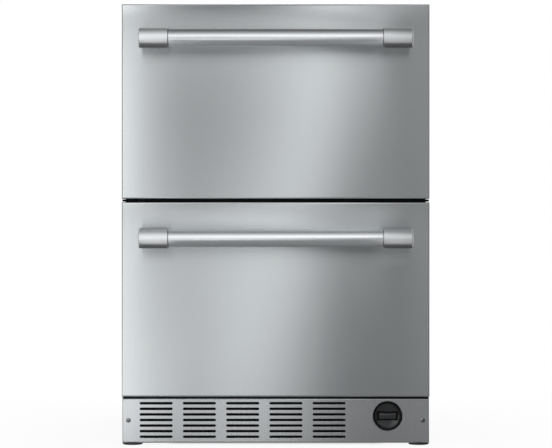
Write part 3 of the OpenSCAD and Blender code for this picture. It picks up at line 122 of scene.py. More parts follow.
class Finish:
    """A procedural material: a principled shader and the nodes that drive its inputs."""

    def __init__(self, name, colour, **sockets):
        self.material = bpy.data.materials.new(name)
        self.material.use_nodes = True
        self.tree = self.material.node_tree
        self.shader = self.tree.nodes["Principled BSDF"]
        self.colour = colour
        self.shader.inputs["Base Color"].default_value = (*colour, 1)
        for socket, value in sockets.items():
            self.shader.inputs[socket.replace("_", " ").title()].default_value = value
        self.normal = None

    def add(self, kind, settings=None, **inputs):
        return node(self.tree, kind, settings, **inputs)

    def place(self, scale=(1, 1, 1)):
        """Object coordinates in metres, stretched."""
        coordinates = self.add("ShaderNodeTexCoord").outputs["Object"]
        return self.add("ShaderNodeMapping", Vector=coordinates, Scale=scale).outputs["Vector"]

    def noise(self, scale, stretch=(1, 1, 1), detail=2.0, roughness=0.5, vector=None):
        vector = vector or self.place(stretch)
        return self.add(
            "ShaderNodeTexNoise", Vector=vector, Scale=scale, Detail=detail, Roughness=roughness
        ).outputs["Fac"]

    def cells(self, scale, feature="F1", output="Color"):
        return self.add(
            "ShaderNodeTexVoronoi", {"feature": feature}, Vector=self.place(), Scale=scale
        ).outputs[output]

    def remap(self, value, low, high):
        """0 below low, 1 above high."""
        return self.add(
            "ShaderNodeMapRange", {"clamp": True}, Value=value, From_Min=low, From_Max=high
        ).outputs["Result"]

    def maths(self, operation, a, b=0.0):
        return self.add("ShaderNodeMath", {"operation": operation}, _0=a, _1=b).outputs[0]

    def edges(self, radius):
        """0 on flat stretches, up to 1 on edges that a wider bevel would round."""
        rounded = self.add("ShaderNodeBevel", {"samples": BEVEL_SAMPLES}, Radius=radius).outputs["Normal"]
        flat = self.add("ShaderNodeNewGeometry").outputs["Normal"]
        dot = self.add("ShaderNodeVectorMath", {"operation": "DOT_PRODUCT"}, _0=rounded, _1=flat)
        away = self.maths("SUBTRACT", 1.0, dot.outputs["Value"])
        return self.remap(self.maths("MULTIPLY", away, EDGE_GAIN), 0.0, 1.0)

    def tint(self, factor, other, amount):
        """Mixes the base colour towards another where the factor is high."""
        current = self.shader.inputs["Base Color"]
        mix = self.add("ShaderNodeMix", {"data_type": "RGBA"})
        factor = self.maths("MULTIPLY", factor, amount)
        self.tree.links.new(factor, mix.inputs["Factor"])
        if current.is_linked:
            self.tree.links.new(current.links[0].from_socket, mix.inputs[6])
        else:
            mix.inputs[6].default_value = (*self.colour, 1)
        mix.inputs[7].default_value = (*other, 1)
        self.tree.links.new(mix.outputs[2], current)

    def roughen(self, *factors):
        """Adds (factor, amount) pairs to the roughness; each factor is centred on 0.5."""
        base = self.shader.inputs["Roughness"].default_value
        for factor, amount in factors:
            swing = self.maths("MULTIPLY", self.maths("SUBTRACT", factor, 0.5), amount)
            base = self.maths("ADD", base, swing)
        self.tree.links.new(base, self.shader.inputs["Roughness"])

    def round_off(self, radius):
        """Softens sharp edges in the shading."""
        rounded = self.add("ShaderNodeBevel", {"samples": BEVEL_SAMPLES}, Radius=radius)
        self.normal = rounded.outputs["Normal"]
        self.tree.links.new(self.normal, self.shader.inputs["Normal"])

    def bump(self, height, distance, strength):
        bumped = self.add("ShaderNodeBump", Height=height, Distance=distance, Strength=strength)
        if self.normal:
            self.tree.links.new(self.normal, bumped.inputs["Normal"])
        self.normal = bumped.outputs["Normal"]
        self.tree.links.new(self.normal, self.shader.inputs["Normal"])

    def grain_direction(self, axis):
        """Highlights spread across a grain that runs along the axis."""
        tangent = self.add("ShaderNodeTangent", {"direction_type": "RADIAL", "axis": axis})
        self.tree.links.new(tangent.outputs["Tangent"], self.shader.inputs["Tangent"])


def brushed_sheet(name, colour, roughness, edge=0.0006):
    """Stainless sheet with an upright brushed grain that runs back over the folds at top and bottom."""
    f = Finish(
        name, colour, metallic=1.0, roughness=roughness, anisotropic=0.95, anisotropic_rotation=0.25
    )
    f.grain_direction("Z")
    normal = f.add("ShaderNodeNewGeometry").outputs["Normal"]
    up = f.add("ShaderNodeSeparateXYZ", Vector=normal).outputs["Z"]
    flat = f.remap(f.maths("ABSOLUTE", up), 0.5, 0.8)
    stretch = f.add(
        "ShaderNodeMix", {"data_type": "VECTOR"}, Factor=flat, _4=(1, 1, GRAIN), _5=(1, GRAIN, 1)
    ).outputs[1]
    coordinates = f.add("ShaderNodeTexCoord").outputs["Object"]
    along = f.add(
        "ShaderNodeVectorMath", {"operation": "MULTIPLY"}, _0=coordinates, _1=stretch
    ).outputs[0]
    fine = f.noise(1500, vector=along, detail=3, roughness=0.6)
    medium = f.noise(260, vector=along)
    broad = f.noise(5)
    f.tint(f.remap(fine, 0.35, 0.65), scaled(colour, 0.95), 0.5)
    f.tint(f.remap(medium, 0.35, 0.7), scaled(colour, 1.02), 0.5)
    f.roughen((fine, 0.06), (medium, 0.02), (broad, 0.03))
    f.round_off(edge)
    f.bump(fine, 0.000003, 0.4)
    return f.material


def turned_steel(name, colour, roughness, lines_per_metre):
    """Polished or dull round stock with fine lines round it."""
    f = Finish(name, colour, metallic=1.0, roughness=roughness)
    lines = f.noise(lines_per_metre, stretch=(1, 0.02, 0.02))
    broad = f.noise(18)
    f.tint(f.remap(lines, 0.35, 0.65), scaled(colour, 0.92), 0.5)
    f.roughen((lines, 0.06), (broad, 0.05))
    f.round_off(0.0004)
    f.bump(lines, 0.000006, 0.4)
    return f.material


def cast_steel(name, colour, roughness):
    """Bead-blasted steel: even satin with a very fine pebble."""
    f = Finish(name, colour, metallic=1.0, roughness=roughness)
    pebble = f.noise(2600)
    broad = f.noise(30)
    f.tint(f.remap(pebble, 0.35, 0.65), scaled(colour, 0.93), 0.6)
    f.roughen((pebble, 0.1), (broad, 0.06))
    f.round_off(0.0004)
    f.bump(pebble, 0.00001, 0.35)
    return f.material


def plated_steel(name, colour, roughness):
    """Bare or zinc-plated pressed sheet with faint rolling lines and edges painted paler as a painted
    highlight.
    """
    f = Finish(name, colour, metallic=1.0, roughness=roughness)
    rolled = f.noise(900, stretch=(1, 0.03, 1))
    cloud = f.noise(40, detail=3)
    f.tint(f.remap(cloud, 0.4, 0.7), (0.48, 0.5, 0.5), 0.5)
    # Paler edges: a painted highlight along them.
    f.tint(f.edges(0.0008), (0.82, 0.82, 0.8), 0.5)
    f.roughen((rolled, 0.12), (cloud, 0.12))
    f.round_off(0.0003)
    f.bump(rolled, 0.00001, 0.4)
    return f.material


def galvanised(name, colour):
    """Hot-dip sheet: crystal spangle of several greys."""
    f = Finish(name, colour, metallic=0.9, roughness=0.42)
    crystal = f.cells(130)
    shade = f.add("ShaderNodeSeparateXYZ", Vector=crystal).outputs["X"]
    fine = f.noise(700, detail=3)
    f.tint(shade, scaled(colour, 0.78), 0.5)
    f.tint(f.remap(fine, 0.5, 0.8), (0.7, 0.71, 0.71), 0.3)
    f.roughen((shade, 0.16), (fine, 0.08))
    f.round_off(0.0004)
    f.bump(fine, 0.00002, 0.3)
    return f.material


def painted(name, colour, roughness, peel=0.00004, coat=0.0):
    """Powder coat or enamel: orange peel, a broad dusty cloud and edges painted paler as a painted
    highlight.
    """
    f = Finish(name, colour, roughness=roughness, coat_weight=coat)
    skin = f.noise(650, detail=3)
    dust = f.noise(7, detail=4)
    f.tint(f.remap(dust, 0.45, 0.8), scaled(colour, 1.5, 0.006), 0.5)
    # Paler edges: a painted highlight along them.
    f.tint(f.edges(0.0012), (0.09, 0.09, 0.095), 0.55)
    f.roughen((skin, 0.12), (dust, 0.14))
    f.round_off(0.0005)
    f.bump(skin, peel, 0.6)
    return f.material


def moulded(name, colour, roughness, subsurface=0.0, edge_highlight=None, gloss=0.5):
    """Moulded or formed plastic with a fine spark-eroded texture and slight unevenness."""
    f = Finish(name, colour, roughness=roughness, subsurface_weight=subsurface)
    f.shader.inputs["Specular IOR Level"].default_value = gloss
    f.shader.inputs["Subsurface Scale"].default_value = SUBSURFACE_DEPTH
    fine = f.noise(1400, roughness=0.6)
    cloud = f.noise(6, detail=3)
    f.tint(f.remap(cloud, 0.4, 0.75), scaled(colour, 0.94), 0.6)
    # Edges painted in the given paler colour: a painted highlight.
    if edge_highlight:
        f.tint(f.edges(0.001), edge_highlight, 0.4)
    f.roughen((fine, 0.12), (cloud, 0.1))
    f.round_off(0.0006)
    f.bump(fine, 0.00002, 0.5)
    return f.material


def rubber(name, colour):
    """Matt rubber with a pale bloom in places."""
    f = Finish(name, colour, roughness=0.62)
    fine = f.noise(1100, detail=3)
    bloom = f.noise(60, detail=3)
    f.tint(f.remap(bloom, 0.45, 0.8), scaled(colour, 1.0, 0.03), 0.6)
    f.roughen((fine, 0.15), (bloom, 0.2))
    f.bump(fine, 0.00003, 0.5)
    return f.material


def rigid_foam(name, colour):
    """Cut foam: small bubbles and browner patches."""
    f = Finish(name, colour, roughness=0.9)
    bubbles = f.cells(700, feature="SMOOTH_F1", output="Distance")
    cloud = f.noise(12, detail=4)
    f.tint(f.remap(bubbles, 0.2, 0.7), scaled(colour, 0.78), 0.7)
    f.tint(f.remap(cloud, 0.4, 0.75), (0.78, 0.6, 0.3), 0.35)
    f.bump(bubbles, 0.0003, 0.6)
    return f.material


def copper(name, colour):
    """Drawn copper, bright in places and browned in others."""
    f = Finish(name, colour, metallic=1.0, roughness=0.28)
    stain = f.noise(38, detail=4)
    fine = f.noise(900)
    f.tint(f.remap(stain, 0.42, 0.7), (0.28, 0.13, 0.07), 0.75)
    f.roughen((stain, 0.35), (fine, 0.08))
    f.bump(fine, 0.00001, 0.4)
    return f.material


FINISHES = {
    "front_steel": brushed_sheet("front_steel_brushed", (0.575, 0.602, 0.614), 0.25),
    "grille_steel": brushed_sheet("grille_steel_brushed", (0.58, 0.6, 0.615), 0.28, edge=0.0011),
    "bar_steel": turned_steel("bar_steel_polished", (0.745, 0.765, 0.785), 0.3, 2600),
    "cap_steel": cast_steel("cap_steel_satin", (0.72, 0.74, 0.755), 0.48),
    # Screw steel is far darker than bare steel: painted shade for the dark surroundings that screw heads
    # reflect.
    "screw_steel": turned_steel("screw_steel_painted_shade", (0.24, 0.243, 0.247), 0.26, 1800),
    "slide_steel": plated_steel("slide_steel_zinc", (0.62, 0.64, 0.65), 0.32),
    "wrapper_paint": painted("wrapper_paint_black", (0.016, 0.016, 0.0165), 0.42),
    "galvanised": galvanised("galvanised_spangle", (0.52, 0.54, 0.55)),
    "foam": rigid_foam("foam_rigid", (0.86, 0.74, 0.45)),
    "liner_plastic": moulded("liner_plastic_white", (0.8, 0.81, 0.805), 0.34, subsurface=0.05),
    "bin_plastic": moulded("bin_plastic_pale", (0.7, 0.725, 0.735), 0.3, subsurface=0.12),
    "divider_plastic": moulded("divider_plastic_smoke", (0.42, 0.49, 0.54), 0.22, subsurface=0.1),
    "seal_rubber": rubber("seal_rubber_black", (0.02, 0.02, 0.021)),
    "foot_rubber": rubber("foot_rubber_black", (0.016, 0.016, 0.016)),
    "black_plastic": moulded("black_plastic_moulded", (0.014, 0.014, 0.015), 0.45, edge_highlight=(0.05, 0.05, 0.05)),
    # A near-black matt copy of the black plastics, for pieces that stand in for shade: painted shade.
    "painted_shade_plastic": moulded("painted_shade_plastic_matt", (0.004, 0.004, 0.004), 0.7, gloss=0.12),
    "knob_plastic": moulded(
        "knob_plastic_satin", (0.0105, 0.012, 0.014), 0.24, edge_highlight=(0.014, 0.0155, 0.0175), gloss=1.0
    ),
    "pot_paint": painted("pot_paint_gloss", (0.01, 0.01, 0.0105), 0.2, peel=0.00003, coat=0.4),
    "fin_aluminium": plated_steel("fin_aluminium_bare", (0.74, 0.75, 0.76), 0.3),
    "copper": copper("copper_drawn", (0.9, 0.5, 0.34)),
    "light_diffuser": moulded("light_diffuser_opal", (0.88, 0.89, 0.9), 0.3, subsurface=0.4),
}

for part in SUBPARTS:
    solid = NODES[part["node"]]
    solid.data.materials.clear()
    solid.data.materials.append(FINISHES[part["material_slot"]])


# ---- Making meshes ---------------------------------------------------------------------------

# Degrees between two faces from which their shared edge stays sharp
SHARP_ANGLE = 30


def mesh_object(name, made):
    mesh = bpy.data.meshes.new(name)
    made.to_mesh(mesh)
    made.free()
    obj = bpy.data.objects.new(name, mesh)
    bpy.context.scene.collection.objects.link(obj)
    return obj


def closed_object(name, made):
    """An object of closed skins, with all faces turned outwards."""
    bmesh.ops.recalc_face_normals(made, faces=made.faces)
    return mesh_object(name, made)


def smooth_all(obj):
    for face in obj.data.polygons:
        face.use_smooth = True
    return obj


def smoothed(obj):
    """Smooth shading that keeps the sharper edges."""
    smooth_all(obj)
    obj.data.set_sharp_from_angle(angle=math.radians(SHARP_ANGLE))
    return obj


def dress(obj, body, slot):
    """Gives a piece its finish and the body it rides on."""
    obj.data.materials.append(FINISHES[slot])
    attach(obj, body)
    return obj


def swept_frame(name, low, high, profile):
    """A closed section swept round a rectangle in the XZ plane with mitred corners.

    Each profile point is (distance in from the rectangle, depth along Y from its front).
    """
    made = bmesh.new()
    rings = []
    for sx, sz in ((-1, -1), (1, -1), (1, 1), (-1, 1)):
        edge_x = low.x if sx < 0 else high.x
        edge_z = low.z if sz < 0 else high.z
        rings.append([made.verts.new((edge_x - sx * u, low.y + w, edge_z - sz * u)) for u, w in profile])
    for ring, after in zip(rings, rings[1:] + rings[:1]):
        for i in range(len(profile)):
            j = (i + 1) % len(profile)
            made.faces.new((ring[i], after[i], after[j], ring[j]))
    return closed_object(name, made)


def run_along_x(name, section, half, middle=0.0):
    """A closed section of (y, z) points run along X, with closed ends."""
    made = bmesh.new()
    ends = [[made.verts.new((middle + side * half, y, z)) for y, z in section] for side in (-1, 1)]
    for i in range(len(section)):
        j = (i + 1) % len(section)
        made.faces.new((ends[0][i], ends[0][j], ends[1][j], ends[1][i]))
    for end in ends:
        made.faces.new(end)
    return closed_object(name, made)


def turned(made, profile, centre, axis, steps=96):
    """Adds a closed section of (radius, distance along the axis) turned round X or Y."""
    rings = []
    for radius, along in profile:
        ring = []
        for i in range(steps if radius > 0 else 1):
            turn = math.tau * i / steps
            a, b = radius * math.cos(turn), radius * math.sin(turn)
            offset = (along, a, b) if axis == "X" else (a, along, b)
            ring.append(made.verts.new(Vector(centre) + Vector(offset)))
        rings.append(ring)
    for ring, after in zip(rings, rings[1:] + rings[:1]):
        for i in range(steps):
            j = (i + 1) % steps
            corners = ((ring, i), (ring, j), (after, j), (after, i))
            unique = list(dict.fromkeys(loop[k % len(loop)] for loop, k in corners))
            if len(unique) > 2:
                made.faces.new(unique)


def lofted(made, rings):
    """Adds a closed skin over rings of equal counts, with flat ends."""
    loops = [[made.verts.new(point) for point in ring] for ring in rings]
    for loop, after in zip(loops, loops[1:]):
        for i in range(len(loop)):
            j = (i + 1) % len(loop)
            made.faces.new((loop[i], loop[j], after[j], after[i]))
    made.faces.new(loops[0])
    made.faces.new(loops[-1])


def smooth_closed(points, steps):
    """A closed Catmull-Rom curve through the points."""
    curve = []
    n = len(points)
    for i in range(n):
        p0, p1, p2, p3 = (Vector(points[(i + k) % n]) for k in (-1, 0, 1, 2))
        for s in range(steps):
            t = s / steps
            a = 2 * p1 + (p2 - p0) * t
            b = (2 * p0 - 5 * p1 + 4 * p2 - p3) * t * t
            c = (3 * p1 - 3 * p2 + p3 - p0) * t**3
            curve.append(tuple((a + b + c) / 2))
    return curve


# ---- Drawer seals ----------------------------------------------------------------------------

# Section of the seal as shares of its width and depth: base, two bellows folds, magnet tube
SEAL_SECTION = (
    (0.02, 0.02), (0.04, 0.15), (0.2, 0.22), (0.3, 0.3), (0.22, 0.4), (0.33, 0.5), (0.2, 0.58),
    (0.08, 0.66), (0.06, 0.85), (0.13, 0.97), (0.3, 1.0), (0.5, 0.99), (0.7, 1.0), (0.87, 0.97),
    (0.94, 0.85), (0.92, 0.66), (0.8, 0.58), (0.67, 0.5), (0.78, 0.4), (0.7, 0.3), (0.8, 0.22),
    (0.96, 0.15), (0.98, 0.02), (0.75, 0.0), (0.5, 0.04), (0.25, 0.0),
)
SEAL_WIDTH = 0.014
SEAL_STEPS = 3


def seal_bellows(name, body):
    low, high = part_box(f"{name}_seal")
    depth = high.y - low.y
    section = smooth_closed([(u * SEAL_WIDTH, w * depth) for u, w in SEAL_SECTION], SEAL_STEPS)
    seal = smooth_all(swept_frame(f"{name}_seal_bellows", low, high, section))
    dress(seal, body, "seal_rubber")
    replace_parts(seal, f"{name}_seal")


# ---- Control knob ----------------------------------------------------------------------------

KNOB_RADIUS = 0.0275
KNOB_DEPTH = 0.014
KNOB_SHAFT_RADIUS = 0.003
# The dish's wall meets its floor in a bevelled corner and leans out to a narrow rounded lip.
DISH_RADIUS = 0.0231
DISH_DEPTH = 0.007
DISH_CORNER = 0.001
DISH_BEVEL = 0.0003
KNOB_LIP_RADIUS = DISH_RADIUS + 0.0007
KNOB_LIP_WIDTH = 0.0006
KNOB_LIP_ROUND = 0.0003
KNOB_LIP_FALL = 0.0001
CUP_BACK = KNOB_DEPTH - 0.0005
# The rim slopes back between two bevels: (how far from the rim's own edge, depth)
RIM_INNER_BEVEL = (0.0005, 0.0004)
RIM_OUTER_BEVEL = (0.0003, 0.0025)
RIM_EDGE_DEPTH = 0.0031
# Half height of the grip at its waist and how much more it has at its ends
GRIP_WAIST = 0.0053
GRIP_FLARE = 0.0011
# Depth from the front, how far in from the full outline, and the radius that ends the grip. The
# first levels are the grip's bevelled top, which has the dish's finish, and the last one is sunk
# in the dish's floor.
GRIP_LEVELS = (
    (0.0004, 0.0005, 0.0157), (0.0005, 0.0002, 0.016), (0.0009, 0.0, 0.0165),
    (0.0034, -0.0013, 0.0193), (DISH_DEPTH + 0.0004, -0.0034, 0.0197),
)
GRIP_TOP_LEVELS = 3
GRIP_POINTS = 24
# Where the bevel of an end starts along the grip, and how much of the end stays upright
GRIP_BEVEL_START = 0.985
GRIP_END_SHARE = 0.6


def grip_ring(centre, depth, inset, end):
    """Outline of the waisted grip at one depth."""
    upper = []
    for i in range(GRIP_POINTS):
        x = end * GRIP_BEVEL_START * (2 * i / (GRIP_POINTS - 1) - 1)
        upper.append((x, min(GRIP_WAIST + GRIP_FLARE * (x / end) ** 2 - inset, end)))
    first, last = (GRIP_END_SHARE * upper[i][1] for i in (0, -1))
    lower = [(x, -z) for x, z in reversed(upper)]
    outline = upper + [(end, last), (end, -last)] + lower + [(-end, -first), (-end, first)]
    return [(centre.x + x, centre.y + depth, centre.z + z) for x, z in outline]


def knob():
    low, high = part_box("control_knob")
    centre = Vector(((low.x + high.x) / 2, low.y, (low.z + high.z) / 2))
    back = high.y - low.y
    rings = [grip_ring(centre, *values) for values in GRIP_LEVELS]
    rim = KNOB_LIP_RADIUS + KNOB_LIP_WIDTH

    made = bmesh.new()
    turned(made, (
        (0, DISH_DEPTH), (DISH_RADIUS - DISH_CORNER, DISH_DEPTH),
        (DISH_RADIUS - DISH_BEVEL, DISH_DEPTH - DISH_BEVEL), (DISH_RADIUS, DISH_DEPTH - DISH_CORNER),
        (KNOB_LIP_RADIUS, KNOB_LIP_ROUND), (KNOB_LIP_RADIUS + KNOB_LIP_ROUND, 0.0), (rim, KNOB_LIP_FALL),
        (rim, CUP_BACK), (KNOB_SHAFT_RADIUS, CUP_BACK), (KNOB_SHAFT_RADIUS, back), (0, back),
    ), centre, "Y")
    lofted(made, rings[:GRIP_TOP_LEVELS])
    face = smoothed(closed_object("knob_face", made))
    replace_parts(dress(face, "control_knob", "knob_plastic"), "control_knob")

    # The grip's drafted flanks are in the near-black plastic: painted shade where they face up and down.
    made = bmesh.new()
    lofted(made, rings[GRIP_TOP_LEVELS - 1:])
    dress(smoothed(closed_object("knob_grip", made)), "control_knob", "painted_shade_plastic")

    # The rim is in the same near-black plastic: partly a matt rim, partly painted shade for the dark room
    # that it reflects.
    made = bmesh.new()
    turned(made, (
        (rim, KNOB_LIP_FALL), (rim + RIM_INNER_BEVEL[0], RIM_INNER_BEVEL[1]),
        (KNOB_RADIUS - RIM_OUTER_BEVEL[0], RIM_OUTER_BEVEL[1]), (KNOB_RADIUS, RIM_EDGE_DEPTH),
        (KNOB_RADIUS, KNOB_DEPTH), (rim, KNOB_DEPTH),
    ), centre, "Y")
    dress(smoothed(closed_object("knob_rim", made)), "control_knob", "painted_shade_plastic")


# ---- Rings in the handles' grooves: painted shade between bar and caps -----------------------

# Each ring, in dark screw steel, stands in for the shade in the groove between bar and cap: painted shade.
# (distance past the groove's inner side, radius)
GROOVE_SHADE_RING = (
    (-0.0007, 0.017), (-0.0005, 0.0174), (0.0, 0.0176), (0.0009, 0.0176),
    (0.0009, 0.0151), (0.0001, 0.0151), (0.0001, 0.017),
)
GROOVE = 0.001
RING_STEPS = 64


def handle_shade_rings(name, body):
    low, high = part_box(f"{name}_handle_bar")
    middle = (low + high) / 2
    start = high.x - middle.x - GROOVE
    made = bmesh.new()
    for side in (-1, 1):
        turned(made, [(r, side * (start + along)) for along, r in GROOVE_SHADE_RING], middle, "X", RING_STEPS)
    dress(smoothed(closed_object(f"{name}_handle_shade_rings", made)), body, "screw_steel")


# ---- Black lips above and below the lower front: painted shade in the gaps -------------------

# Section of a lip as shares of its depth, from its front, and of half its height
LIP_SECTION = (
    (1.0, -0.55), (0.16, -0.55), (0.12, -0.9), (0.06, -1.0), (0.02, -0.7), (0.0, 0.0),
    (0.02, 0.7), (0.06, 1.0), (0.12, 0.9), (0.16, 0.55), (1.0, 0.55),
)
# Gaps from a lip to the fronts, the grille and the cabinet, and in from the fronts' sides
FRONT_CLEAR = 0.0012
GRILLE_CLEAR = 0.0002
CABINET_CLEAR = 0.0005
LIP_INSET = 0.0008
# How far behind the fronts' faces the lips start
GAP_LIP_RECESS = 0.008
TOE_LIP_RECESS = 0.011


# A lip is a dark strip set back in a gap between fronts: painted shade inside the gap.
def lip(name, low_z, high_z, recess, slot):
    half = (high_z - low_z) / 2
    front_y = FACE_Y + recess
    depth = CABINET_Y - CABINET_CLEAR - front_y
    section = [(front_y + u * depth, low_z + half * (1 + v)) for u, v in LIP_SECTION]
    dress(run_along_x(name, section, SKIN_HIGH.x - LIP_INSET), "cabinet", slot)


# ---- Behind the toe grille's slots -----------------------------------------------------------

GRILLE_SHEET = 0.0012
FILTER_CLEAR = 0.0008
FILTER_Y = GRILLE_LOW.y + GRILLE_SHEET + FILTER_CLEAR
FILTER_LEFT, FILTER_RIGHT = -0.2735, 0.1445
FILTER_RISE = 0.002
FILTER_TOP_CLEAR = 0.0006
FILTER_PAPER = 0.0006
PLEAT = 0.002
PLEAT_DEPTH = 0.0012

ANGLE_HALF = 0.2715
ANGLE_CLEAR = 0.0003
ANGLE_SHEET = 0.001
ANGLE_FLANGE = 0.011
ANGLE_ROUND = 0.0008
ANGLE_INNER_ROUND = 0.0004
# The angle's lower edge thickens backwards: (width, height) of that bevel
ANGLE_FOOT = (0.0014, 0.0016)


def grille_filter():
    """Pleated air filter seen through the slots, in near-black plastic that is also painted shade behind
    them.
    """
    low = BASE_Z + FILTER_RISE
    pleats = int((GRILLE_HIGH.z - GRILLE_SHEET - FILTER_TOP_CLEAR - low) / PLEAT)
    front = [(FILTER_Y + (PLEAT_DEPTH if i % 2 else 0.0), low + i * PLEAT) for i in range(pleats + 1)]
    section = front + [(y + FILTER_PAPER, z) for y, z in reversed(front)]
    half, middle = (FILTER_RIGHT - FILTER_LEFT) / 2, (FILTER_LEFT + FILTER_RIGHT) / 2
    dress(run_along_x("grille_filter", section, half, middle), "cabinet", "painted_shade_plastic")


def grille_angle():
    """Angle that closes the lowest slots under the base pan, in near-black plastic: painted shade behind
    them.
    """
    low = GRILLE_LOW.z + GRILLE_SHEET + ANGLE_CLEAR
    top = BASE_Z - ANGLE_CLEAR
    under = top - ANGLE_SHEET
    back = FILTER_Y + ANGLE_SHEET
    section = (
        (FILTER_Y, low), (FILTER_Y, top - ANGLE_ROUND), (FILTER_Y + ANGLE_ROUND, top),
        (FILTER_Y + ANGLE_FLANGE, top), (FILTER_Y + ANGLE_FLANGE, under),
        (back + ANGLE_INNER_ROUND, under), (back, under - ANGLE_INNER_ROUND),
        (back, low + ANGLE_FOOT[1]), (back + ANGLE_FOOT[0], low),
    )
    dress(run_along_x("grille_angle", section, ANGLE_HALF), "cabinet", "painted_shade_plastic")


for name, body in DRAWERS.items():
    seal_bellows(name, body)
knob()
for name, body in DRAWERS.items():
    handle_shade_rings(name, body)
lip(
    "gap_shade_lip", LOWER_SKIN_HIGH.z + FRONT_CLEAR, SKIN_LOW.z - FRONT_CLEAR,
    recess=GAP_LIP_RECESS, slot="painted_shade_plastic",
)
lip(
    "toe_shade_lip", GRILLE_HIGH.z + GRILLE_CLEAR, LOWER_SKIN_LOW.z - FRONT_CLEAR,
    recess=TOE_LIP_RECESS, slot="black_plastic",
)
grille_filter()
grille_angle()


# ---- Stage: building blocks ------------------------------------------------------------------


def stage_object(name, made):
    obj = mesh_object(name, made)
    return obj


def only_reflected(obj):
    """The object shows in reflections and nowhere else."""
    obj.visible_camera = False
    obj.visible_diffuse = False
    obj.visible_shadow = False
    obj.visible_transmission = False
    obj.visible_volume_scatter = False
    return obj


def emission_tree(name):
    """A new material, its node tree without nodes, and its output."""
    material = bpy.data.materials.new(name)
    material.use_nodes = True
    tree = material.node_tree
    tree.nodes.clear()
    return material, tree, tree.nodes.new("ShaderNodeOutputMaterial")


def combine(tree, operation, first, *others):
    """Vectors or colours added, subtracted or multiplied, one after the other."""
    for other in others:
        first = node(tree, "ShaderNodeVectorMath", {"operation": operation}, _0=first, _1=other).outputs[0]
    return first


def maths(tree, operation, a, b):
    return node(tree, "ShaderNodeMath", {"operation": operation}, _0=a, _1=b).outputs[0]


def band(tree, stops, slant=0.0, axis="X"):
    """Greys that run along an axis through stops of (place, grey).

    slant leans them, in metres along the axis for each metre of height.
    """
    place = node(tree, "ShaderNodeTexCoord").outputs["Object"]
    split = node(tree, "ShaderNodeSeparateXYZ", Vector=place).outputs
    across = split[axis]
    if slant:
        across = node(
            tree, "ShaderNodeMath", {"operation": "MULTIPLY_ADD"}, _0=split["Z"], _1=-slant, _2=across
        ).outputs[0]
    first, last = stops[0][0], stops[-1][0]
    share = node(tree, "ShaderNodeMapRange", Value=across, From_Min=first, From_Max=last)
    ramp = node(tree, "ShaderNodeValToRGB", Fac=share.outputs["Result"])
    ramp.color_ramp.interpolation = "LINEAR"
    elements = ramp.color_ramp.elements
    while len(elements) < len(stops):
        elements.new(0.5)
    for element, (x, grey) in zip(elements, stops):
        element.position = (x - first) / (last - first)
        element.color = (grey, grey, grey, 1)
    return ramp.outputs["Color"]


def from_y(start, stops):
    """Stops moved along Y."""
    return [(start + y, grey) for y, grey in stops]


def plain(grey):
    """The colour function of a card that is one grey all over."""
    return lambda tree: (grey, grey, grey, 1)


def level(z, front, back, half):
    """Corners of a level card. A one-sided card with them glows downwards."""
    return (-half, front, z), (-half, back, z), (half, back, z), (half, front, z)


def card(name, corners, colour, one_sided=False):
    """A glowing rectangle seen only in reflections; colour(tree) gives its brightness.

    The corners of a one-sided card go clockwise as seen from its clear side.
    """
    made = bmesh.new()
    made.faces.new([made.verts.new(corner) for corner in corners])
    obj = only_reflected(stage_object(name, made))
    material, tree, output = emission_tree(name)
    surface = node(tree, "ShaderNodeEmission", Color=colour(tree)).outputs[0]
    if one_sided:
        behind = node(tree, "ShaderNodeNewGeometry").outputs["Backfacing"]
        clear = node(tree, "ShaderNodeBsdfTransparent").outputs[0]
        surface = node(tree, "ShaderNodeMixShader", Fac=behind, _1=surface, _2=clear).outputs[0]
    tree.links.new(surface, output.inputs["Surface"])
    obj.data.materials.append(material)


def white_rays(tree):
    """1 for what the camera, a reflection or a clear material sees, 0 for plain light."""
    path = node(tree, "ShaderNodeLightPath").outputs
    seen = path["Is Camera Ray"]
    for other in ("Is Glossy Ray", "Is Transmission Ray"):
        seen = maths(tree, "MAXIMUM", seen, path[other])
    return seen


def softbox(name, place, aim, size, power):
    data = bpy.data.lights.new(name, "AREA")
    data.shape = "RECTANGLE"
    data.size, data.size_y = size
    data.energy = power
    obj = bpy.data.objects.new(name, data)
    bpy.context.scene.collection.objects.link(obj)
    obj.location = place
    obj.rotation_euler = (Vector(aim) - Vector(place)).to_track_quat("-Z", "Y").to_euler()
    obj.visible_camera = False


# ---- Floor and room --------------------------------------------------------------------------

FLOOR_HALF = 30
FLOOR_PAPER = 0.92
# The shadow fades to white in two steps: (start, end) of each, outwards from the edge of the
# object's footprint, and the share of the fade that the first one takes.
FADE_NEAR = (-0.15, -0.08)
FADE_FAR = (-0.08, 0.7)
FADE_NEAR_SHARE = 0.9
ROOM_LIGHT = 0.8


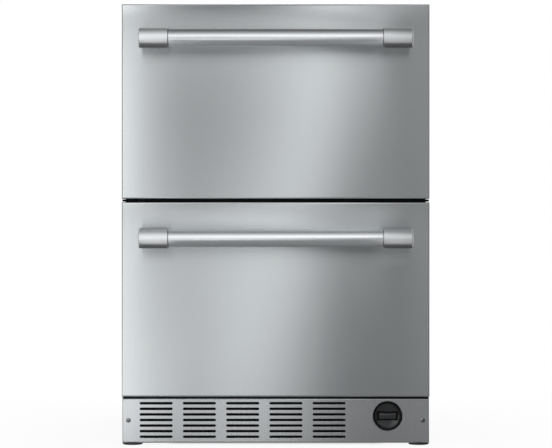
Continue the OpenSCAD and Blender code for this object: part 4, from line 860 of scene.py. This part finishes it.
def floor():
    """A wide white floor that keeps a soft shadow near the object and fades to plain white."""
    made = bmesh.new()
    bmesh.ops.create_grid(made, x_segments=1, y_segments=1, size=FLOOR_HALF)
    obj = stage_object("floor", made)
    material, tree, output = emission_tree("floor_white")
    place = node(tree, "ShaderNodeTexCoord").outputs["Object"]
    size = node(tree, "ShaderNodeVectorMath", {"operation": "ABSOLUTE"}, _0=place).outputs[0]
    beyond = combine(tree, "SUBTRACT", size, (SKIN_HIGH.x, CAD_BOX[1][1], 0))
    split = node(tree, "ShaderNodeSeparateXYZ", Vector=beyond).outputs
    away = maths(tree, "MAXIMUM", split["X"], split["Y"])
    steps = [
        node(
            tree, "ShaderNodeMapRange", {"interpolation_type": "SMOOTHSTEP"},
            Value=away, From_Min=start, From_Max=end, To_Min=0.0, To_Max=share,
        ).outputs["Result"]
        for (start, end), share in ((FADE_NEAR, FADE_NEAR_SHARE), (FADE_FAR, 1 - FADE_NEAR_SHARE))
    ]
    seen = maths(tree, "MULTIPLY", white_rays(tree), maths(tree, "ADD", *steps))
    white = node(tree, "ShaderNodeEmission").outputs[0]
    paper_colour = (FLOOR_PAPER, FLOOR_PAPER, FLOOR_PAPER, 1)
    paper = node(tree, "ShaderNodeBsdfDiffuse", Color=paper_colour).outputs[0]
    mix = node(tree, "ShaderNodeMixShader", Fac=seen, _1=paper, _2=white).outputs[0]
    tree.links.new(mix, output.inputs["Surface"])
    obj.data.materials.append(material)


def room():
    """White where the camera or a reflection sees it, an even studio light elsewhere."""
    world = bpy.data.worlds.new("studio")
    world.use_nodes = True
    bpy.context.scene.world = world
    tree = world.node_tree
    light = (ROOM_LIGHT, ROOM_LIGHT, ROOM_LIGHT, 1)
    white = (1, 1, 1, 1)
    mix = node(tree, "ShaderNodeMix", {"data_type": "RGBA"}, Factor=white_rays(tree), _6=light, _7=white)
    tree.links.new(mix.outputs[2], tree.nodes["Background"].inputs["Color"])


floor()
room()


# ---- Cards round the object ------------------------------------------------------------------

# All stops are (place, grey). A wide card in front gives the faces their leaning bands: a base that
# changes from one pattern at the floor to another one metre above it, plus a ridge, a bright edge
# and a pale field at the top, all multiplied by BY_HEIGHT.
CARD_Y = FACE_Y - 1.25
CARD_HALF = 1.3
CARD_TOP = 2.1
BASE_LEAN = 0.14
BASE_LOW = ((-0.45, 0.36), (-0.3, 1.01), (-0.15, 1.2), (0, 0.64), (0.12, 0.08), (0.25, 0.12), (0.42, 0.38))
BASE_HIGH = ((-0.45, 0.3), (-0.3, 0.02), (-0.15, 0.2), (0, 0.91), (0.12, 0.35), (0.25, 0.33), (0.42, 0.45))
RIDGE_LEAN = 0.27
RIDGE = ((-0.345, 0), (-0.265, 0), (-0.185, 0.19), (-0.105, 0.56), (-0.025, 0.28), (0.055, 0))
EDGE = ((-0.42, 1.38), (-0.33, 0.22), (-0.24, 0))
BY_HEIGHT = (
    (0, 1.3), (0.15, 1.05), (0.3, 0.85), (0.46, 0.93),
    (0.58, 1.12), (0.7, 1.02), (0.82, 0.72), (0.98, 1.15),
)
TOP_BY_HEIGHT = ((0.88, 0), (0.98, 0.14), (1.1, 0.14))
TOP_BY_WIDTH = ((-0.25, 0.35), (-0.18, 1), (0.02, 1), (0.1, 0.4), (0.3, 0.3))


def front_bands(tree):
    place = node(tree, "ShaderNodeTexCoord").outputs["Object"]
    height = node(tree, "ShaderNodeSeparateXYZ", Vector=place).outputs["Z"]
    share = node(tree, "ShaderNodeMapRange", Value=height).outputs["Result"]
    low, high = (band(tree, stops, BASE_LEAN) for stops in (BASE_LOW, BASE_HIGH))
    base = node(tree, "ShaderNodeMix", {"data_type": "VECTOR"}, Factor=share, _4=low, _5=high).outputs[1]
    top = combine(tree, "MULTIPLY", band(tree, TOP_BY_HEIGHT, axis="Z"), band(tree, TOP_BY_WIDTH))
    bands = combine(tree, "ADD", base, band(tree, RIDGE, RIDGE_LEAN), band(tree, EDGE), top)
    return combine(tree, "MULTIPLY", bands, band(tree, BY_HEIGHT, axis="Z"))


# The floor card shows its bands at a low angle and one dark grey from above. Its depths and the
# top card's are from the drawers' faces.
FLOOR_CARD_Z = 0.0015
FLOOR_CARD_BACK = FACE_Y + 0.2
FLOOR_BY_WIDTH = (
    (-0.6, 2.0), (-0.3, 1.45), (-0.19, 0.7), (-0.1, 0.63), (0.06, 0.31), (0.16, 0.15), (0.6, 0.17),
)
FLOOR_BY_DEPTH = ((-0.5, 1.0), (-0.08, 0.6))
FLOOR_FROM_ABOVE = 0.26
# Layer Weight's facing where the bands start and where they are all that shows
GRAZING_START, GRAZING_FULL = 0.45, 0.85


def floor_bands(tree):
    low = band(tree, FLOOR_BY_WIDTH)
    low = combine(tree, "MULTIPLY", low, band(tree, from_y(FACE_Y, FLOOR_BY_DEPTH), axis="Y"))
    facing = node(tree, "ShaderNodeLayerWeight", Blend=0.5).outputs["Facing"]
    grazing = node(
        tree, "ShaderNodeMapRange", Value=facing, From_Min=GRAZING_START, From_Max=GRAZING_FULL
    ).outputs["Result"]
    above = (FLOOR_FROM_ABOVE, FLOOR_FROM_ABOVE, FLOOR_FROM_ABOVE, 1)
    return node(tree, "ShaderNodeMix", {"data_type": "RGBA"}, Factor=grazing, _6=above, _7=low).outputs[2]


TOP_CARD_BACK = 1.6
TOP_CARD_BY_DEPTH = ((-1.25, 0.75), (-0.58, 0.4), (-0.16, 0.16), (0.1, 0.14))


def top_bands(tree):
    return band(tree, from_y(FACE_Y, TOP_CARD_BY_DEPTH), axis="Y")


SIDE_CARD_BACK = FACE_Y + 0.5
SIDE_CARDS = {"left_card": (-CARD_HALF, 0.35), "right_card": (CARD_HALF, 0.2)}


def room_cards():
    left, right = -CARD_HALF, CARD_HALF
    front = ((left, CARD_Y, 0), (right, CARD_Y, 0), (right, CARD_Y, CARD_TOP), (left, CARD_Y, CARD_TOP))
    card("band_card", front, front_bands)
    card("floor_card", level(FLOOR_CARD_Z, CARD_Y, FLOOR_CARD_BACK, CARD_HALF), floor_bands)
    card("top_card", level(CARD_TOP, CARD_Y, TOP_CARD_BACK, CARD_HALF), top_bands)
    for name, (x, grey) in SIDE_CARDS.items():
        back = SIDE_CARD_BACK
        side = ((x, CARD_Y, 0), (x, CARD_Y, CARD_TOP), (x, back, CARD_TOP), (x, back, 0))
        card(name, side, plain(grey))


# A level strip over each bar lights it from in front; its upper side is clear to the drawer above.
# Depths are from the bar's axis.
STRIP_RISE = {"upper": 0.064, "lower": 0.072}
STRIP_HALF = 0.45
STRIP_BY_DEPTH = ((-0.45, 1.3), (-0.17, 1.25), (-0.1, 0.85), (-0.061, 0.5), (-0.033, 0.3), (-0.015, 0.2))
STRIP_BY_WIDTH = ((-0.2, 1.0), (0.0, 1.12), (0.21, 1.14), (0.26, 0.45))
# Small level cards round each cap: rise over the bar's axis, two depths from it, and grey. Those
# below the axis glow upwards, the others downwards.
CAP_CARDS = {
    "over": (0.027, -0.002, 0.018, 0.62),
    "under": (-0.0195, -0.02, 0.012, 0.08),
    "ahead": (-0.06, -0.3, -0.035, 0.85),
}
# Share of those greys at each side
CAP_SHARE = {"left": 1.0, "right": 0.7}
# The card over a lower cap is darker, on both sides.
LOWER_CAP_OVER_GREY = 0.12
CAP_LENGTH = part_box("upper_handle_caps")[1].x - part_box("upper_handle_bar")[1].x


def strip_bands(bar_y):
    """The colour function of the strip over a bar."""

    def colour(tree):
        by_depth = band(tree, from_y(bar_y, STRIP_BY_DEPTH), axis="Y")
        return combine(tree, "MULTIPLY", by_depth, band(tree, STRIP_BY_WIDTH))

    return colour


def handle_cards(name):
    low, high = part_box(f"{name}_handle_bar")
    bar = (low + high) / 2
    front, back = (bar.y + STRIP_BY_DEPTH[i][0] for i in (0, -1))
    strip = level(bar.z + STRIP_RISE[name], front, back, STRIP_HALF)
    card(f"{name}_strip", strip, strip_bands(bar.y), one_sided=True)
    caps = {"left": (-high.x - CAP_LENGTH, -high.x), "right": (high.x, high.x + CAP_LENGTH)}
    for side, (near, far) in caps.items():
        for place, (rise, start, end, grey) in CAP_CARDS.items():
            grey *= CAP_SHARE[side]
            if name == "lower" and place == "over":
                grey = LOWER_CAP_OVER_GREY
            plan = ((near, start), (near, end), (far, end), (far, start))
            corners = [(x, bar.y + y, bar.z + rise) for x, y in plan]
            if rise < 0:
                corners.reverse()
            card(f"{name}_{side}_cap_{place}", corners, plain(grey), one_sided=True)


room_cards()
for name in DRAWERS:
    handle_cards(name)

softbox("key", place=(-0.3, FACE_Y - 3.0, 2.3), aim=(0, FACE_Y, 0.8), size=(3.4, 1.6), power=21)
softbox("rear", place=(0.6, 2.6, 2.0), aim=(0, 0, 0.5), size=(1.6, 1.2), power=20)


# ---- Camera and output -----------------------------------------------------------------------

camera_data = bpy.data.cameras.new("photo_camera")
camera_data.sensor_width = SENSOR
camera_data.lens = SENSOR * CAMERA_DISTANCE / VIEW_WIDTH
camera = bpy.data.objects.new("photo_camera", camera_data)
bpy.context.scene.collection.objects.link(camera)
camera.location = (CAMERA_X, FACE_Y - CAMERA_DISTANCE, CAMERA_Z)
camera.rotation_euler = (math.radians(90), 0, 0)
bpy.context.scene.camera = camera
bpy.context.scene.view_settings.view_transform = "Standard"
